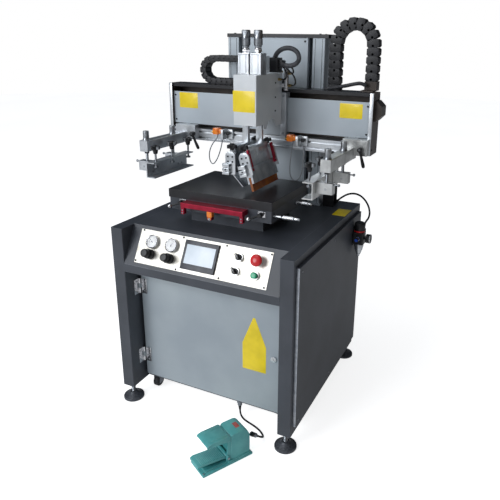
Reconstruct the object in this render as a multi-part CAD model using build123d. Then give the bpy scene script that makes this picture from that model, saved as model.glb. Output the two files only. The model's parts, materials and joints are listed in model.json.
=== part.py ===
"""Flat-bed vertical-lift screen printing machine: fixed table, rising print beam, cabinet and foot pedal.

Millimetres. Everything is drawn with X to the right, Y to the back and Z up from the floor, with the
cabinet's centre at X = Y = 0, and is then shifted so that the origin is the bottom centre of its box.
"""
from build123d import *
import math
import os

os.makedirs("parts", exist_ok=True)

# ---- fits and sheet sizes ----
RUN = 0.05                 # radial running clearance of a shaft in its bore
GAP = 0.5                  # gap between faces that slide past each other
SHEET = 3                  # folded sheet steel

# ---- cabinet ----
CAB_W = 720                # over the two cheeks
CAB_D = 712
CAB_TOP = 723              # height of the cabinet top
WHEEL_R = 25
CAB_UNDER = 2 * WHEEL_R + 14    # underside of the cheeks
CHEEK_T = 50
CHEEK_RIM = 40             # solid rim of a cheek round its pocket
CHEEK_WEB = 6
PANEL_T = 12               # folded side panel
PANEL_FRONT_SET = 18       # cheek face to the panel's edge, front and rear
PANEL_Z = (100, CAB_TOP - 28)
CONSOLE_SET = 71           # how far the sloped console leans back
CONSOLE_LOW = CAB_TOP - 133
BEAM_LOW = CAB_TOP - 164             # underside of the front crossbeam
BEAM_DEEP = 40
FLOOR_Z = CAB_UNDER + 2
FLOOR_T = 6
DOOR_Y = 76 - CAB_D / 2      # front face of the door
DOOR_T = 20
HINGE_R = 4.5
DOOR_GAP = 2 * HINGE_R + 1      # door edge to cheek
DOOR_Z = (87, CAB_TOP - 178)
HINGE_Z = (DOOR_Z[0] + 92, DOOR_Z[1] - 70)
HINGE_PIN_R = 2.5
HINGE_TALL = 60
HINGE_KNUCKLE = 20
LOCK_X = CAB_W / 2 - 100
LOCK_Z = (DOOR_Z[0] + DOOR_Z[1]) / 2 - 10
LOCK_R = 11

# ---- feet and casters ----
FOOT_X = CAB_W / 2 - 27
FOOT_Y = CAB_D / 2 - 25
FOOT_R = 40
FOOT_H = 26
FOOT_STEM_R = 8
CASTER_X = CAB_W / 2 - 75
CASTER_Y = CAB_D / 2 - 125
WHEEL_W = 20
WHEEL_Z = WHEEL_R + 5
AXLE_R = 4

# ---- console plate and its controls: (x along, s down the slope from the top edge) ----
PLATE_W = 528
PLATE_H = 124
PLATE_T = 2
PLATE_AT = (-4, 75)
GAUGES = ((-206, 54), (-124, 54))
GAUGE_R = 24
GAUGE_OUT = 14
REGULATORS = (("regulator_knob_left", -206, 99), ("regulator_knob_right", -123, 101))
REG_R = 17
REG_OUT = 24
REG_KNOB_R = 14
REG_KNOB_OUT = 22
REG_STEM_R = 5
TOUCH_AT = (-5, 74)
TOUCH_SIZE = (134, 103)
TOUCH_OUT = 7
SELECTORS = (("selector_knob_upper", 143, 50), ("selector_knob_lower", 140, 98))
BEZEL_R = 15
BEZEL_OUT = 6
SELECTOR_R = 11
SELECTOR_OUT = 20
STOP_AT = (216, 50)
STOP_R = 20
STOP_OUT = 34
START_AT = (213, 99)
START_R = 11
START_OUT = 14
SWITCH_HOLE_R = 11
BUTTON_TRAVEL = 4

# ---- printing table ----
TABLE_TOP = CAB_TOP + 127
TABLE_X = (-210, 210)
TABLE_Y = (-204, 122)
TABLE_T = 31
SLIDE_T = 44
SLIDE_IN = 3               # the lower plate is this much smaller all round
BASE_X = (TABLE_X[0] + 60, TABLE_X[1] - 60)
BASE_Y = (TABLE_Y[0] + 54, TABLE_Y[1] - 42)
BASE_WALL = 12
BAR_X = (-134, 116)
BAR_OUT = 40
BAR_Z = (CAB_TOP + 74, CAB_TOP + 92)
BAR_LEG_W = 12
BAR_LEG_LOW = CAB_TOP + 50
SENSOR_X = (-26, -8)
SENSOR_LOW = CAB_TOP + 43
HANDLES = (("table_handle_left", -151, CAB_TOP + 83), ("table_handle_right", 170, CAB_TOP + 81))
HANDLE_HUB_R = 8
HANDLE_HUB_L = 22
HANDLE_REACH = 36
HANDLE_BALL_R = 9
ADJUSTER_Y = TABLE_Y[0] + 26
ADJUSTER_Z = CAB_TOP + 74
ADJUSTER_L = 92

# ---- tower ----
TOWER_Y = CAB_D / 2 - 106
TOWER_D = 95
TOWER_TOP = CAB_TOP + 660
COLUMNS = ((-210, -160), (161, 212))
COLUMN_WALL = 4
FACE_X = (-144, 142)       # front cover between the two slots
CAP_T = 14
CAP_X = (-212, 226)
TAB_X = 152                # centre of the tabs that pass through the slots
SHAFT_X = TAB_X - 27
SHAFT_Y = TOWER_Y + 50
SHAFT_R = 10
TAB_T = 10
BUSH_W = 44
BUSH_Z = (CAB_TOP + 317, CAB_TOP + 417)
CYL_R = 28
CYL_BORE = 20
CYL_L = 206
CYL_Z = CAB_TOP + 3
ROD_R = 8
POST_X = (229, 275)
POST_D = 44
POST_TOP = CAB_TOP + 490

# ---- print beam ----
BEAM_HALF = 427
END_T = 14
BEAM_Y = (TOWER_Y - 100, TOWER_Y - 10)
BEAM_Z = (CAB_TOP + 246, CAB_TOP + 474)
BEAM_BACK_T = 15
COVER_Y = BEAM_Y[0] + 13
COVER_T = 2
COVER_Z = (CAB_TOP + 309, CAB_TOP + 440)
TOP_T = 13
TOP_Y = (BEAM_Y[0] + 8, BEAM_Y[1])
RAIL_Z = (CAB_TOP + 244, CAB_TOP + 292)
RAIL_Y = (BEAM_Y[0], BEAM_Y[1] - BEAM_BACK_T)
SLOT_W = 8
SLOT_DEEP = 10
GUIDE_Z = (CAB_TOP + 369, CAB_TOP + 385)
GUIDE_Y = BEAM_Y[0] + 53
GUIDE_HALF = BEAM_HALF - 17
END_COVER_Y = (BEAM_Y[0] + 22, BEAM_Y[1] - 4)
END_COVER_Z = (CAB_TOP + 371, CAB_TOP + 445)
END_COVER_OUT = 26

# ---- carriage on the beam ----
CAR_X = 37                 # centre of the carriage at rest
CAR_HALF = 65
CAR_FRONT_Y = BEAM_Y[0] - 4
CAR_FRONT_T = 10
CAR_INNER_Y = BEAM_Y[0] + 21
CAR_INNER_T = 8
CAR_Z = (CAB_TOP + 295, CAB_TOP + 460)
BLOCK_HALF = 42
BLOCK_Z = (CAB_TOP + 347, CAB_TOP + 407)
BLOCK_Y = GUIDE_Y + 19
BOX_X = (-9, 82)
BOX_Y = CAR_FRONT_Y - 217
BOX_Z = (CAB_TOP + 357, CAB_TOP + 532)
BOX_T = 4
ARCH_Y = CAR_FRONT_Y - 90
ARCH_R = 46
CYLINDERS = (("stroke_knob_left", 9), ("stroke_knob_right", 57))
CYL_W = 44
CYL_Y = BOX_Y + 64
STROKE_Z = (CAB_TOP + 532, CAB_TOP + 604)
NUT_R = 15
NUT_T = 18
KNOB_R = 15.5
KNOB_TOP = CAB_TOP + 682
KNOB_STEM_R = 5

# ---- squeegee head: both tools are drawn upright from the working edge, then leaned ----
HEAD_Y = (CYL_Y - 130, CYL_Y + 73)
LEAN = 16                  # degrees, working edge towards +X
SQ_EDGE = (104, CAB_TOP + 138)
BLADE_T = 9
BLADE_H = 50
BLADE_OUT = 27
HOLDER_T = 24
HOLDER_H = 58
WEB_T = 12
WEB_TOP = 128
END_PLATE_T = 6
END_PLATE_W = 40
END_PLATE_Z = (58, 140)
PINCH_W = 28
PINCH_Z = (58, 98)
WING_R = 20
WING_T = 12
FLOOD_EDGE = (63, CAB_TOP + 151)
FLOOD_T = 3
FLOOD_LEAN = 45
FLOOD_L = 66
FLOOD_TOP = (16, CAB_TOP + 198)
HANGER_W = 24
HANGER_T = 14
HANGER_TOP = CAB_TOP + 387
CROSS_Z = (CAB_TOP + 273, CAB_TOP + 289)
SQ_CROSS_X = 64
FLOOD_CROSS_X = 8

# ---- screen arms ----
ARM_W = 36
ARM_Y = (BEAM_Y[0] - 287, BEAM_Y[0] - 30)
ARM_Z = (CAB_TOP + 236, CAB_TOP + 279)
BRACKET_W = 94
BRACKET_Z = (CAB_TOP + 250, CAB_TOP + 309)
ARMS = (("left", -383, -394, -306, 28), ("right", 352, 342, 413, 17))
POST_YS = (ARM_Y[0] + 19, ARM_Y[0] + 189)
STUD_R = 5
CAP_R = 11
CAP_H = 34
CHANNEL_Y = (ARM_Y[0] - 26, ARM_Y[0] + 239)
CHANNEL_Z = (CAB_TOP + 143, CAB_TOP + 203)
CHANNEL_DEEP = 38
CHANNEL_T = 4
CHANNEL_TIP = 300
SCREW_YS = (ARM_Y[0] + 3, ARM_Y[0] + 109, ARM_Y[0] + 221)
SCREW_R = 4
PAD_R = 9
PAD_Z = (CAB_TOP + 180, CAB_TOP + 186)
SCREW_KNOB_Z = (CAB_TOP + 233, CAB_TOP + 262)
SCREW_HUB_R = 7
LEVER_Z = CAB_TOP + 275
LEVER_R = 9
LEVER_L = 62

# ---- drag chains ----
CHAIN_T = 46
CHAIN_W = 44
CHAIN_OUT_R = 96
CHAIN_ARC_Z = CAB_TOP + 641
CHAIN_END_Z = CAB_TOP + 508
FLAT_CHAIN_R = 58
FLAT_CHAIN_T = 26
FLAT_CHAIN_ARC_X = -246
FLAT_CHAIN_Y = (BEAM_Y[0] + 26, BEAM_Y[0] + 76)
FLAT_CHAIN_ANCHOR_X = 60    # where its lower run is fixed on the beam
FLAT_CHAIN_PLATE_T = 4      # upright on the carriage that holds its upper run

# ---- air unit at the rear right ----
AIR_W = 44
AIR_X = CAB_W / 2 + PANEL_T + 2 + AIR_W / 2
AIR_Y = CAB_D / 2 - 116
AIR_Z = (CAB_TOP - 133, CAB_TOP - 83)
AIR_KNOB_R = 22
AIR_KNOB_TOP = CAB_TOP - 43
AIR_STEM_R = 6
BOWL_R = 18
BOWL_TIP_R = 8
BOWL_LOW = CAB_TOP - 181
DRAIN_L = 8
ELBOW_R = 7

# ---- foot pedal, drawn along its own X and then turned ----
PEDAL_AT = (159, -120 - CAB_D / 2)
PEDAL_TURN = 60.6
PEDAL_L = 195
PEDAL_W = 88
PEDAL_BASE_T = 10
HOUSING_L = 84
HOUSING_H = 112
HOOD_T = 8
TREADLE_L = 112
TREADLE_T = 9
TREADLE_PIN_R = 4

# ---- cords: routes chosen by hand ----
CABLE_D = 7
HOSE_D = 8
HOSE_FITTING_R = 7
HOSE_FITTING_L = 14
GLAND_AT = (105, DOOR_Y + 32)
GLAND_R = 9
GLAND_LOW = 46
PEDAL_CABLE = (
    (GLAND_AT[0], GLAND_AT[1], GLAND_LOW),
    (GLAND_AT[0], GLAND_AT[1], 26),
    (GLAND_AT[0] + 8, GLAND_AT[1] - 10, 9),
    (GLAND_AT[0] + 29, GLAND_AT[1] - 24, 5),
    (GLAND_AT[0] + 55, GLAND_AT[1] - 32, 4.5),
    (PEDAL_AT[0] + 31, PEDAL_AT[1] + 187, 4.5),
    (PEDAL_AT[0] + 60, PEDAL_AT[1] + 174, 4.5),
    (PEDAL_AT[0] + 84, PEDAL_AT[1] + 152, 6),
    (PEDAL_AT[0] + 91, PEDAL_AT[1] + 127, 22),
    (PEDAL_AT[0] + 77.5, PEDAL_AT[1] + 103, 45),
)
AIR_HOSE = (
    (POST_X[1], TOWER_Y + 50, CAB_TOP + 15),
    (POST_X[1] + 18, TOWER_Y + 53, CAB_TOP + 32),
    (POST_X[1] + 43, TOWER_Y + 59, CAB_TOP + 48),
    (POST_X[1] + 71, TOWER_Y + 67, CAB_TOP + 52),
    (AIR_X - 25, AIR_Y + 86, CAB_TOP + 41),
    (AIR_X - 5, AIR_Y + 94, CAB_TOP + 18),
    (AIR_X + 7, AIR_Y + 99, CAB_TOP - 8),
    (AIR_X + 13, AIR_Y + 94, CAB_TOP - 31),
    (AIR_X + 14, AIR_Y + 77, CAB_TOP - 46),
    (AIR_X + 11, AIR_Y + 57, CAB_TOP - 52),
    (AIR_X + 8, AIR_Y + 41, CAB_TOP - 61),
    (AIR_X + 8, AIR_Y + 41, CAB_TOP - 83),
)

nodes = {}
cord_names = ("pedal_cable", "air_hose")


def block(x, y, z):
    """A box between two values on each axis."""
    middle = ((x[0] + x[1]) / 2, (y[0] + y[1]) / 2, (z[0] + z[1]) / 2)
    return Pos(*middle) * Box(abs(x[1] - x[0]), abs(y[1] - y[0]), abs(z[1] - z[0]))


def rod_z(x, y, z, radius):
    """An upright cylinder between two heights."""
    return Pos(x, y, (z[0] + z[1]) / 2) * Cylinder(radius, abs(z[1] - z[0]))


def rod_x(x, y, z, radius):
    """A cylinder along X between two values."""
    return Pos((x[0] + x[1]) / 2, y, z) * Rot(0, 90, 0) * Cylinder(radius, abs(x[1] - x[0]))


def rod_y(x, y, z, radius):
    """A cylinder along Y between two values."""
    return Pos(x, (y[0] + y[1]) / 2, z) * Rot(90, 0, 0) * Cylinder(radius, abs(y[1] - y[0]))


def eased(shape, size, axis=Axis.Z):
    """The same shape with its edges along one axis rounded."""
    return fillet(shape.edges().filter_by(axis), size)


def node(name, *shapes):
    """Keep one named sub-part, made of one or more separate solids."""
    solids = []
    for shape in shapes:
        solids.extend(shape.solids())
    nodes[name] = solids


def mirrored_pair(shape):
    """A shape and its mirror image about X = 0."""
    return [shape, mirror(shape, about=Plane.YZ)]


def arm_wing(radius, thick):
    """A three-lobed wing knob on the XY plane, standing on Z = 0."""
    knob = Cylinder(radius * 0.55, thick, align=(Align.CENTER, Align.CENTER, Align.MIN))
    for turn in range(3):
        lobe = Pos(radius * 0.62, 0, 0) * Cylinder(
            radius * 0.36, thick, align=(Align.CENTER, Align.CENTER, Align.MIN)
        )
        knob += Rot(0, 0, 120 * turn) * lobe
    return knob


# ---- cabinet frame: two cheeks, a front crossbeam, a floor pan and a rear top rail, welded ----
half_w = CAB_W / 2
half_d = CAB_D / 2
inner_x = half_w - CHEEK_T
cheek = block((inner_x, half_w), (-half_d, half_d), (CAB_UNDER, CAB_TOP))
cheek = eased(cheek, 3)
cheek -= block(
    (inner_x + CHEEK_WEB, half_w),
    (-half_d + CHEEK_RIM, half_d - CHEEK_RIM),
    (CAB_UNDER + 2 * CHEEK_RIM, CAB_TOP - 1.4 * CHEEK_RIM),
)
for side_y in (-FOOT_Y, FOOT_Y):
    cheek -= rod_z(FOOT_X, side_y, (CAB_UNDER, CAB_UNDER + 40), FOOT_STEM_R + RUN)
frame = cheek + mirror(cheek, about=Plane.YZ)
frame += block((-inner_x, inner_x), (-half_d, -half_d + BEAM_DEEP), (BEAM_LOW, CONSOLE_LOW))
floor_front = DOOR_Y + DOOR_T + GAP
frame += block((-inner_x, inner_x), (floor_front, half_d - SHEET), (FLOOR_Z, FLOOR_Z + FLOOR_T))
rear_rail_z = (CAB_TOP - SHEET - BEAM_DEEP, CAB_TOP - SHEET)
frame += block((-inner_x, inner_x), (half_d - BEAM_DEEP, half_d - SHEET), rear_rail_z)
frame -= rod_z(GLAND_AT[0], GLAND_AT[1], (FLOOR_Z, FLOOR_Z + FLOOR_T), GLAND_R)
node("cabinet_frame", frame)

# ---- cabinet top: one sheet, flat and then folded down into the sloped console ----
slope_drop = CAB_TOP - CONSOLE_LOW
slope_len = math.hypot(CONSOLE_SET, slope_drop)
down_y = -CONSOLE_SET / slope_len
down_z = -slope_drop / slope_len
fold_y = -half_d + CONSOLE_SET
in_y = -down_z * SHEET
in_z = down_y * SHEET
low_in_y = -half_d + SHEET / -down_z
top_in_y = low_in_y + (slope_drop - SHEET) * CONSOLE_SET / slope_drop
profile = Polyline(
    (half_d - SHEET, CAB_TOP), (fold_y, CAB_TOP), (-half_d, CONSOLE_LOW),
    (low_in_y, CONSOLE_LOW), (top_in_y, CAB_TOP - SHEET), (half_d - SHEET, CAB_TOP - SHEET), close=True,
)
sheet_face = Plane.YZ * make_face(profile)
top_sheet = extrude(sheet_face, amount=inner_x, both=True)
slope = Plane(origin=(0, fold_y, CAB_TOP), x_dir=(1, 0, 0), z_dir=(0, down_z, -down_y))


def on_slope(x, s, out=0.0):
    """A place on the console: x along it, s down it, out towards the operator."""
    return slope * Pos(x, -s, out)


def slope_rod(x, s, out, radius):
    """A cylinder standing on the console between two distances out from it."""
    return on_slope(x, s, (out[0] + out[1]) / 2) * Cylinder(radius, abs(out[1] - out[0]))


through = (-12, 12)
top_cuts = []
for x, s in GAUGES:
    top_cuts.append(slope_rod(x, s, through, GAUGE_R - 4))
for _, x, s in REGULATORS:
    top_cuts.append(slope_rod(x, s, through, REG_R - 4))
for _, x, s in SELECTORS:
    top_cuts.append(slope_rod(x, s, through, SWITCH_HOLE_R))
for x, s in (STOP_AT, START_AT):
    top_cuts.append(slope_rod(x, s, through, SWITCH_HOLE_R))
touch_w, touch_h = TOUCH_SIZE
top_cuts.append(on_slope(*TOUCH_AT) * Box(touch_w - 10, touch_h - 10, 24))
for cut in top_cuts:
    top_sheet -= cut
node("cabinet_top", top_sheet)

# ---- control plate: stainless sheet with the chrome bezels of its four switches ----
plate = on_slope(PLATE_AT[0], PLATE_AT[1], PLATE_T / 2) * Box(PLATE_W, PLATE_H, PLATE_T)
for cut in top_cuts:
    plate -= cut
bezels = []
for x, s in ((SELECTORS[0][1:]), (SELECTORS[1][1:]), STOP_AT, START_AT):
    ring = slope_rod(x, s, (PLATE_T, PLATE_T + BEZEL_OUT), BEZEL_R)
    ring -= slope_rod(x, s, (PLATE_T, PLATE_T + BEZEL_OUT), 8 + RUN)
    bezels.append(ring)
node("control_plate", plate, *bezels)

# ---- gauges and pressure regulators through the console ----
regulator_parts = []
for x, s in GAUGES:
    case = slope_rod(x, s, (PLATE_T, GAUGE_OUT), GAUGE_R) + slope_rod(x, s, (-22, PLATE_T), GAUGE_R - 5)
    regulator_parts.append(case)
for _, x, s in REGULATORS:
    body = slope_rod(x, s, (PLATE_T, REG_OUT), REG_R) + slope_rod(x, s, (-34, PLATE_T), REG_R - 5)
    body -= slope_rod(x, s, (REG_OUT - 16, REG_OUT), REG_STEM_R + RUN)
    regulator_parts.append(body)
node("console_regulators", *regulator_parts)
for name, x, s in REGULATORS:
    knob = slope_rod(x, s, (REG_OUT + GAP, REG_OUT + GAP + REG_KNOB_OUT), REG_KNOB_R)
    knob += slope_rod(x, s, (REG_OUT - 14, REG_OUT + GAP), REG_STEM_R)
    node(name, knob)

# ---- touch panel ----
bezel = on_slope(*TOUCH_AT, PLATE_T + TOUCH_OUT / 2) * Box(touch_w, touch_h, TOUCH_OUT)
bezel += on_slope(*TOUCH_AT, PLATE_T - 18) * Box(touch_w - 12, touch_h - 12, 36)
node("touch_panel", bezel)

# ---- selectors and push buttons: each turns or slides in its bezel's bore ----
knob_start = PLATE_T + BEZEL_OUT + GAP
for name, x, s in SELECTORS:
    turner = slope_rod(x, s, (knob_start, knob_start + SELECTOR_OUT / 2), SELECTOR_R)
    turner += on_slope(x, s, knob_start + SELECTOR_OUT / 2) * Box(2 * SELECTOR_R + 4, 7, SELECTOR_OUT)
    turner -= slope_rod(x, s, (-6, knob_start), 30)
    turner += slope_rod(x, s, (-20, knob_start), 8)
    node(name, turner)
button_start = PLATE_T + BEZEL_OUT + BUTTON_TRAVEL + GAP
for name, (x, s), radius, out in (
    ("estop_button", STOP_AT, STOP_R, STOP_OUT), ("start_button", START_AT, START_R, START_OUT)
):
    cap = slope_rod(x, s, (button_start, button_start + out / 2), radius)
    cap = fillet(cap.edges(), out / 8)
    cap += slope_rod(x, s, (-20, button_start + out / 4), 8)
    node(name, cap)

# ---- side and rear panels ----
side_panel = block(
    (half_w, half_w + PANEL_T), (-half_d + PANEL_FRONT_SET, half_d - PANEL_FRONT_SET), PANEL_Z
)
side_panel = eased(side_panel, 2)
side_panel -= block(
    (half_w, half_w + PANEL_T - SHEET),
    (-half_d + PANEL_FRONT_SET + SHEET, half_d - PANEL_FRONT_SET - SHEET),
    (PANEL_Z[0] + SHEET, PANEL_Z[1] - SHEET),
)
rear_panel = block((-inner_x, inner_x), (half_d - SHEET, half_d), (CAB_UNDER + 2, CAB_TOP))
node("cabinet_panels", *mirrored_pair(side_panel), rear_panel)

# ---- door, with the moving leaves of its two hinges ----
door_x = (-inner_x + DOOR_GAP, inner_x - DOOR_GAP)
door = block(door_x, (DOOR_Y, DOOR_Y + DOOR_T), DOOR_Z)
door -= block(
    (door_x[0] + SHEET, door_x[1] - SHEET), (DOOR_Y + SHEET, DOOR_Y + DOOR_T),
    (DOOR_Z[0] + SHEET, DOOR_Z[1] - SHEET),
)
door -= rod_y(LOCK_X, (DOOR_Y, DOOR_Y + SHEET), LOCK_Z, 8 + RUN)
pin_x = -inner_x + DOOR_GAP / 2
pin_y = DOOR_Y - HINGE_R - GAP
door_leaves = []
fixed_leaves = []
for z in HINGE_Z:
    middle_z = (z - HINGE_KNUCKLE / 2 + GAP, z + HINGE_KNUCKLE / 2 - GAP)
    barrel = rod_z(pin_x, pin_y, middle_z, HINGE_R)
    barrel += block((pin_x, pin_x + 26), (DOOR_Y - 3, DOOR_Y), middle_z)
    barrel -= rod_z(pin_x, pin_y, middle_z, HINGE_PIN_R + RUN)
    tall_z = (z - HINGE_TALL / 2, z + HINGE_TALL / 2)
    barrel += block((door_x[0] + 4, pin_x + 30), (DOOR_Y - 3, DOOR_Y), tall_z) \
        - block((pin_x - 8, pin_x + HINGE_R + GAP), (DOOR_Y - 20, DOOR_Y), (z - HINGE_TALL, z + HINGE_TALL))
    door_leaves.append(barrel)
    fixed = rod_z(pin_x, pin_y, tall_z, HINGE_R)
    fixed -= rod_z(pin_x, pin_y, (z - HINGE_KNUCKLE / 2, z + HINGE_KNUCKLE / 2), HINGE_R + 1)
    fixed += rod_z(pin_x, pin_y, tall_z, HINGE_PIN_R)
    leaf = block((-inner_x, -inner_x + 2.5), (pin_y - 28, pin_y + 2), tall_z)
    leaf -= rod_z(pin_x, pin_y, (z - HINGE_KNUCKLE / 2, z + HINGE_KNUCKLE / 2), HINGE_R + 0.7)
    fixed += leaf
    fixed_leaves.append(fixed)
node("door", door, *door_leaves)
node("hinge_leaves", *fixed_leaves)

# ---- door lock: barrel and cam turn together in the door ----
lock = rod_y(LOCK_X, (DOOR_Y - 5, DOOR_Y - GAP / 5), LOCK_Z, LOCK_R)
lock -= block((LOCK_X - 1, LOCK_X + 1), (DOOR_Y - 5, DOOR_Y - 3), (LOCK_Z - 4, LOCK_Z + 4))
lock += rod_y(LOCK_X, (DOOR_Y - 1, DOOR_Y + 16), LOCK_Z, 8)
lock += block((LOCK_X - 8, LOCK_X + 8), (DOOR_Y + 13, DOOR_Y + 16), (LOCK_Z - 34, LOCK_Z))
node("door_lock", lock)

# ---- levelling feet with their lock nuts ----
feet = []
for x in (-FOOT_X, FOOT_X):
    for y in (-FOOT_Y, FOOT_Y):
        pad = rod_z(x, y, (0, FOOT_H / 2), FOOT_R)
        pad += Pos(x, y, FOOT_H * 0.75) * Cone(FOOT_R, FOOT_STEM_R + 6, FOOT_H / 2)
        pad += rod_z(x, y, (0, CAB_UNDER + 34), FOOT_STEM_R)
        feet.append(pad)
        nut = extrude(Pos(x, y, CAB_UNDER - 12) * RegularPolygon(14, 6), amount=12)
        feet.append(nut - rod_z(x, y, (CAB_UNDER - 12, CAB_UNDER), FOOT_STEM_R + RUN))
node("levelling_feet", *feet)

# ---- casters: fixed forks under the floor pan, and the wheels of each axle line ----
forks = []
wheels = {"front_caster_wheels": [], "rear_caster_wheels": []}
for x in (-CASTER_X, CASTER_X):
    for name, y in (("front_caster_wheels", -CASTER_Y), ("rear_caster_wheels", CASTER_Y)):
        side = WHEEL_W / 2 + 2
        fork = block((x - 25, x + 25), (y - 25, y + 25), (FLOOR_Z - 4, FLOOR_Z))
        for cheek_x in (x - side - 1.5, x + side + 1.5):
            fork += block((cheek_x - 1.5, cheek_x + 1.5), (y - 12, y + 12), (WHEEL_Z - 8, FLOOR_Z))
        fork += rod_x((x - side - 3, x + side + 3), y, WHEEL_Z, AXLE_R)
        forks.append(fork)
        wheel = rod_x((x - WHEEL_W / 2, x + WHEEL_W / 2), y, WHEEL_Z, WHEEL_R)
        wheel = fillet(wheel.edges(), 3)
        wheel -= rod_x((x - WHEEL_W, x + WHEEL_W), y, WHEEL_Z, AXLE_R + RUN)
        wheels[name].append(wheel)
node("caster_forks", *forks)
for name, pair in wheels.items():
    node(name, *pair)

# ---- table: pedestal, sliding lower plate, top plate ----
top_under = TABLE_TOP - TABLE_T
slide_under = top_under - SLIDE_T
pedestal = block(BASE_X, BASE_Y, (CAB_TOP, slide_under))
pedestal -= block(
    (BASE_X[0] + BASE_WALL, BASE_X[1] - BASE_WALL), (BASE_Y[0] + BASE_WALL, BASE_Y[1] - BASE_WALL),
    (CAB_TOP, slide_under - BASE_WALL),
)
node("table_base", pedestal)
slide_x = (TABLE_X[0] + SLIDE_IN, TABLE_X[1] - SLIDE_IN)
slide_y = (TABLE_Y[0] + SLIDE_IN, TABLE_Y[1] - SLIDE_IN)
slide_plate = eased(block(slide_x, slide_y, (slide_under, top_under)), 2)
hub_y = (slide_y[0] - HANDLE_HUB_L, slide_y[0])
for _, x, z in HANDLES:
    slide_plate -= rod_y(x, (slide_y[0] - 1, slide_y[0] + 12), z, 4 + RUN)
slide_plate -= rod_x((slide_x[1] - 16, slide_x[1] + 1), ADJUSTER_Y, ADJUSTER_Z, 4 + RUN)
node("table_slide_plate", slide_plate)
table_plate = eased(block(TABLE_X, TABLE_Y, (top_under, TABLE_TOP)), 2)
table_plate = chamfer(table_plate.faces().sort_by(Axis.Z)[-1].edges(), 1)
node("table_top", table_plate)

# ---- crimson bar on the table's front, with its two legs and the sensor below it ----
bar_y = (slide_y[0] - BAR_OUT, slide_y[0])
front_bar = eased(block(BAR_X, bar_y, BAR_Z), 1.5, Axis.X)
for leg_x in ((BAR_X[0], BAR_X[0] + BAR_LEG_W), (BAR_X[1] - BAR_LEG_W, BAR_X[1])):
    leg = block(leg_x, (bar_y[0] + 2, bar_y[0] + 18), (BAR_LEG_LOW, BAR_Z[0]))
    leg -= rod_x((leg_x[0] - 1, leg_x[1] + 1), bar_y[0] + 10, BAR_LEG_LOW + 8, 3)
    front_bar += leg
sensor = block(SENSOR_X, (bar_y[0] + 2, bar_y[0] + 20), (SENSOR_LOW, BAR_Z[0]))
sensor = eased(sensor, 2)
node("table_front_bar", front_bar, sensor)

# ---- ball handles on the table's front ----
for name, x, z in HANDLES:
    handle = rod_y(x, (hub_y[0], hub_y[1] - GAP), z, HANDLE_HUB_R)
    handle += rod_y(x, (hub_y[1] - GAP, hub_y[1] + 10), z, 4)
    root = Vector(x, hub_y[0] + 8, z)
    reach = Vector(-HANDLE_REACH, -16, -14)
    stem = Plane(origin=root, z_dir=reach)
    handle += stem * Cylinder(3.5, reach.length, align=(Align.CENTER, Align.CENTER, Align.MIN))
    handle += stem * Pos(0, 0, reach.length) * Sphere(HANDLE_BALL_R)
    node(name, handle)

# ---- micrometer adjuster on the table's right side ----
adjuster = rod_x((slide_x[1] - 12, slide_x[1]), ADJUSTER_Y, ADJUSTER_Z, 4)
adjuster += rod_x((slide_x[1] + GAP, slide_x[1] + 40), ADJUSTER_Y, ADJUSTER_Z, 6)
adjuster += rod_x((slide_x[1], slide_x[1] + GAP), ADJUSTER_Y, ADJUSTER_Z, 4)
adjuster += rod_x((slide_x[1] + 40, slide_x[1] + ADJUSTER_L - 14), ADJUSTER_Y, ADJUSTER_Z, 8)
adjuster += rod_x((slide_x[1] + ADJUSTER_L - 14, slide_x[1] + ADJUSTER_L), ADJUSTER_Y, ADJUSTER_Z, 6)
node("table_adjuster", adjuster)

# ---- tower: two tube columns and two cover sheets ----
tower_back = TOWER_Y + TOWER_D
tower_parts = []
for x in COLUMNS:
    column = eased(block(x, (TOWER_Y, tower_back), (CAB_TOP, TOWER_TOP)), 3)
    column -= block(
        (x[0] + COLUMN_WALL, x[1] - COLUMN_WALL), (TOWER_Y + COLUMN_WALL, tower_back - COLUMN_WALL),
        (CAB_TOP, TOWER_TOP),
    )
    tower_parts.append(column)
face_cover = block(FACE_X, (TOWER_Y, TOWER_Y + SHEET), (CAB_TOP, TOWER_TOP))
for flange_x in ((FACE_X[0], FACE_X[0] + SHEET), (FACE_X[1] - SHEET, FACE_X[1])):
    face_cover += block(flange_x, (TOWER_Y, TOWER_Y + 20), (CAB_TOP, TOWER_TOP))
back_cover = block((COLUMNS[0][1], COLUMNS[1][0]), (tower_back - SHEET, tower_back), (CAB_TOP, TOWER_TOP))
node("tower_body", *tower_parts, face_cover, back_cover)

# ---- tower cap and the cable post beside the tower, both black ----
cap = block(CAP_X, (TOWER_Y - 4, tower_back + 4), (TOWER_TOP, TOWER_TOP + CAP_T))
cap = chamfer(cap.faces().sort_by(Axis.Z)[-1].edges(), 1.5)
post = block(POST_X, (TOWER_Y, TOWER_Y + POST_D), (CAB_TOP, POST_TOP))
post -= block(
    (POST_X[0] + SHEET, POST_X[1] + 1), (TOWER_Y + SHEET, TOWER_Y + POST_D - SHEET), (CAB_TOP, POST_TOP)
)
post += block(POST_X, (TOWER_Y, TOWER_Y + POST_D), (CAB_TOP, CAB_TOP + 6))
hose_start = Vector(*AIR_HOSE[0])
hose_heading = (Vector(*AIR_HOSE[1]) - hose_start).normalized()
fitting = Plane(origin=hose_start - hose_heading * HOSE_FITTING_L, z_dir=hose_heading)
post += fitting * Cylinder(HOSE_FITTING_R, HOSE_FITTING_L, align=(Align.CENTER, Align.CENTER, Align.MIN))
node("tower_cap", cap, post)

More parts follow.
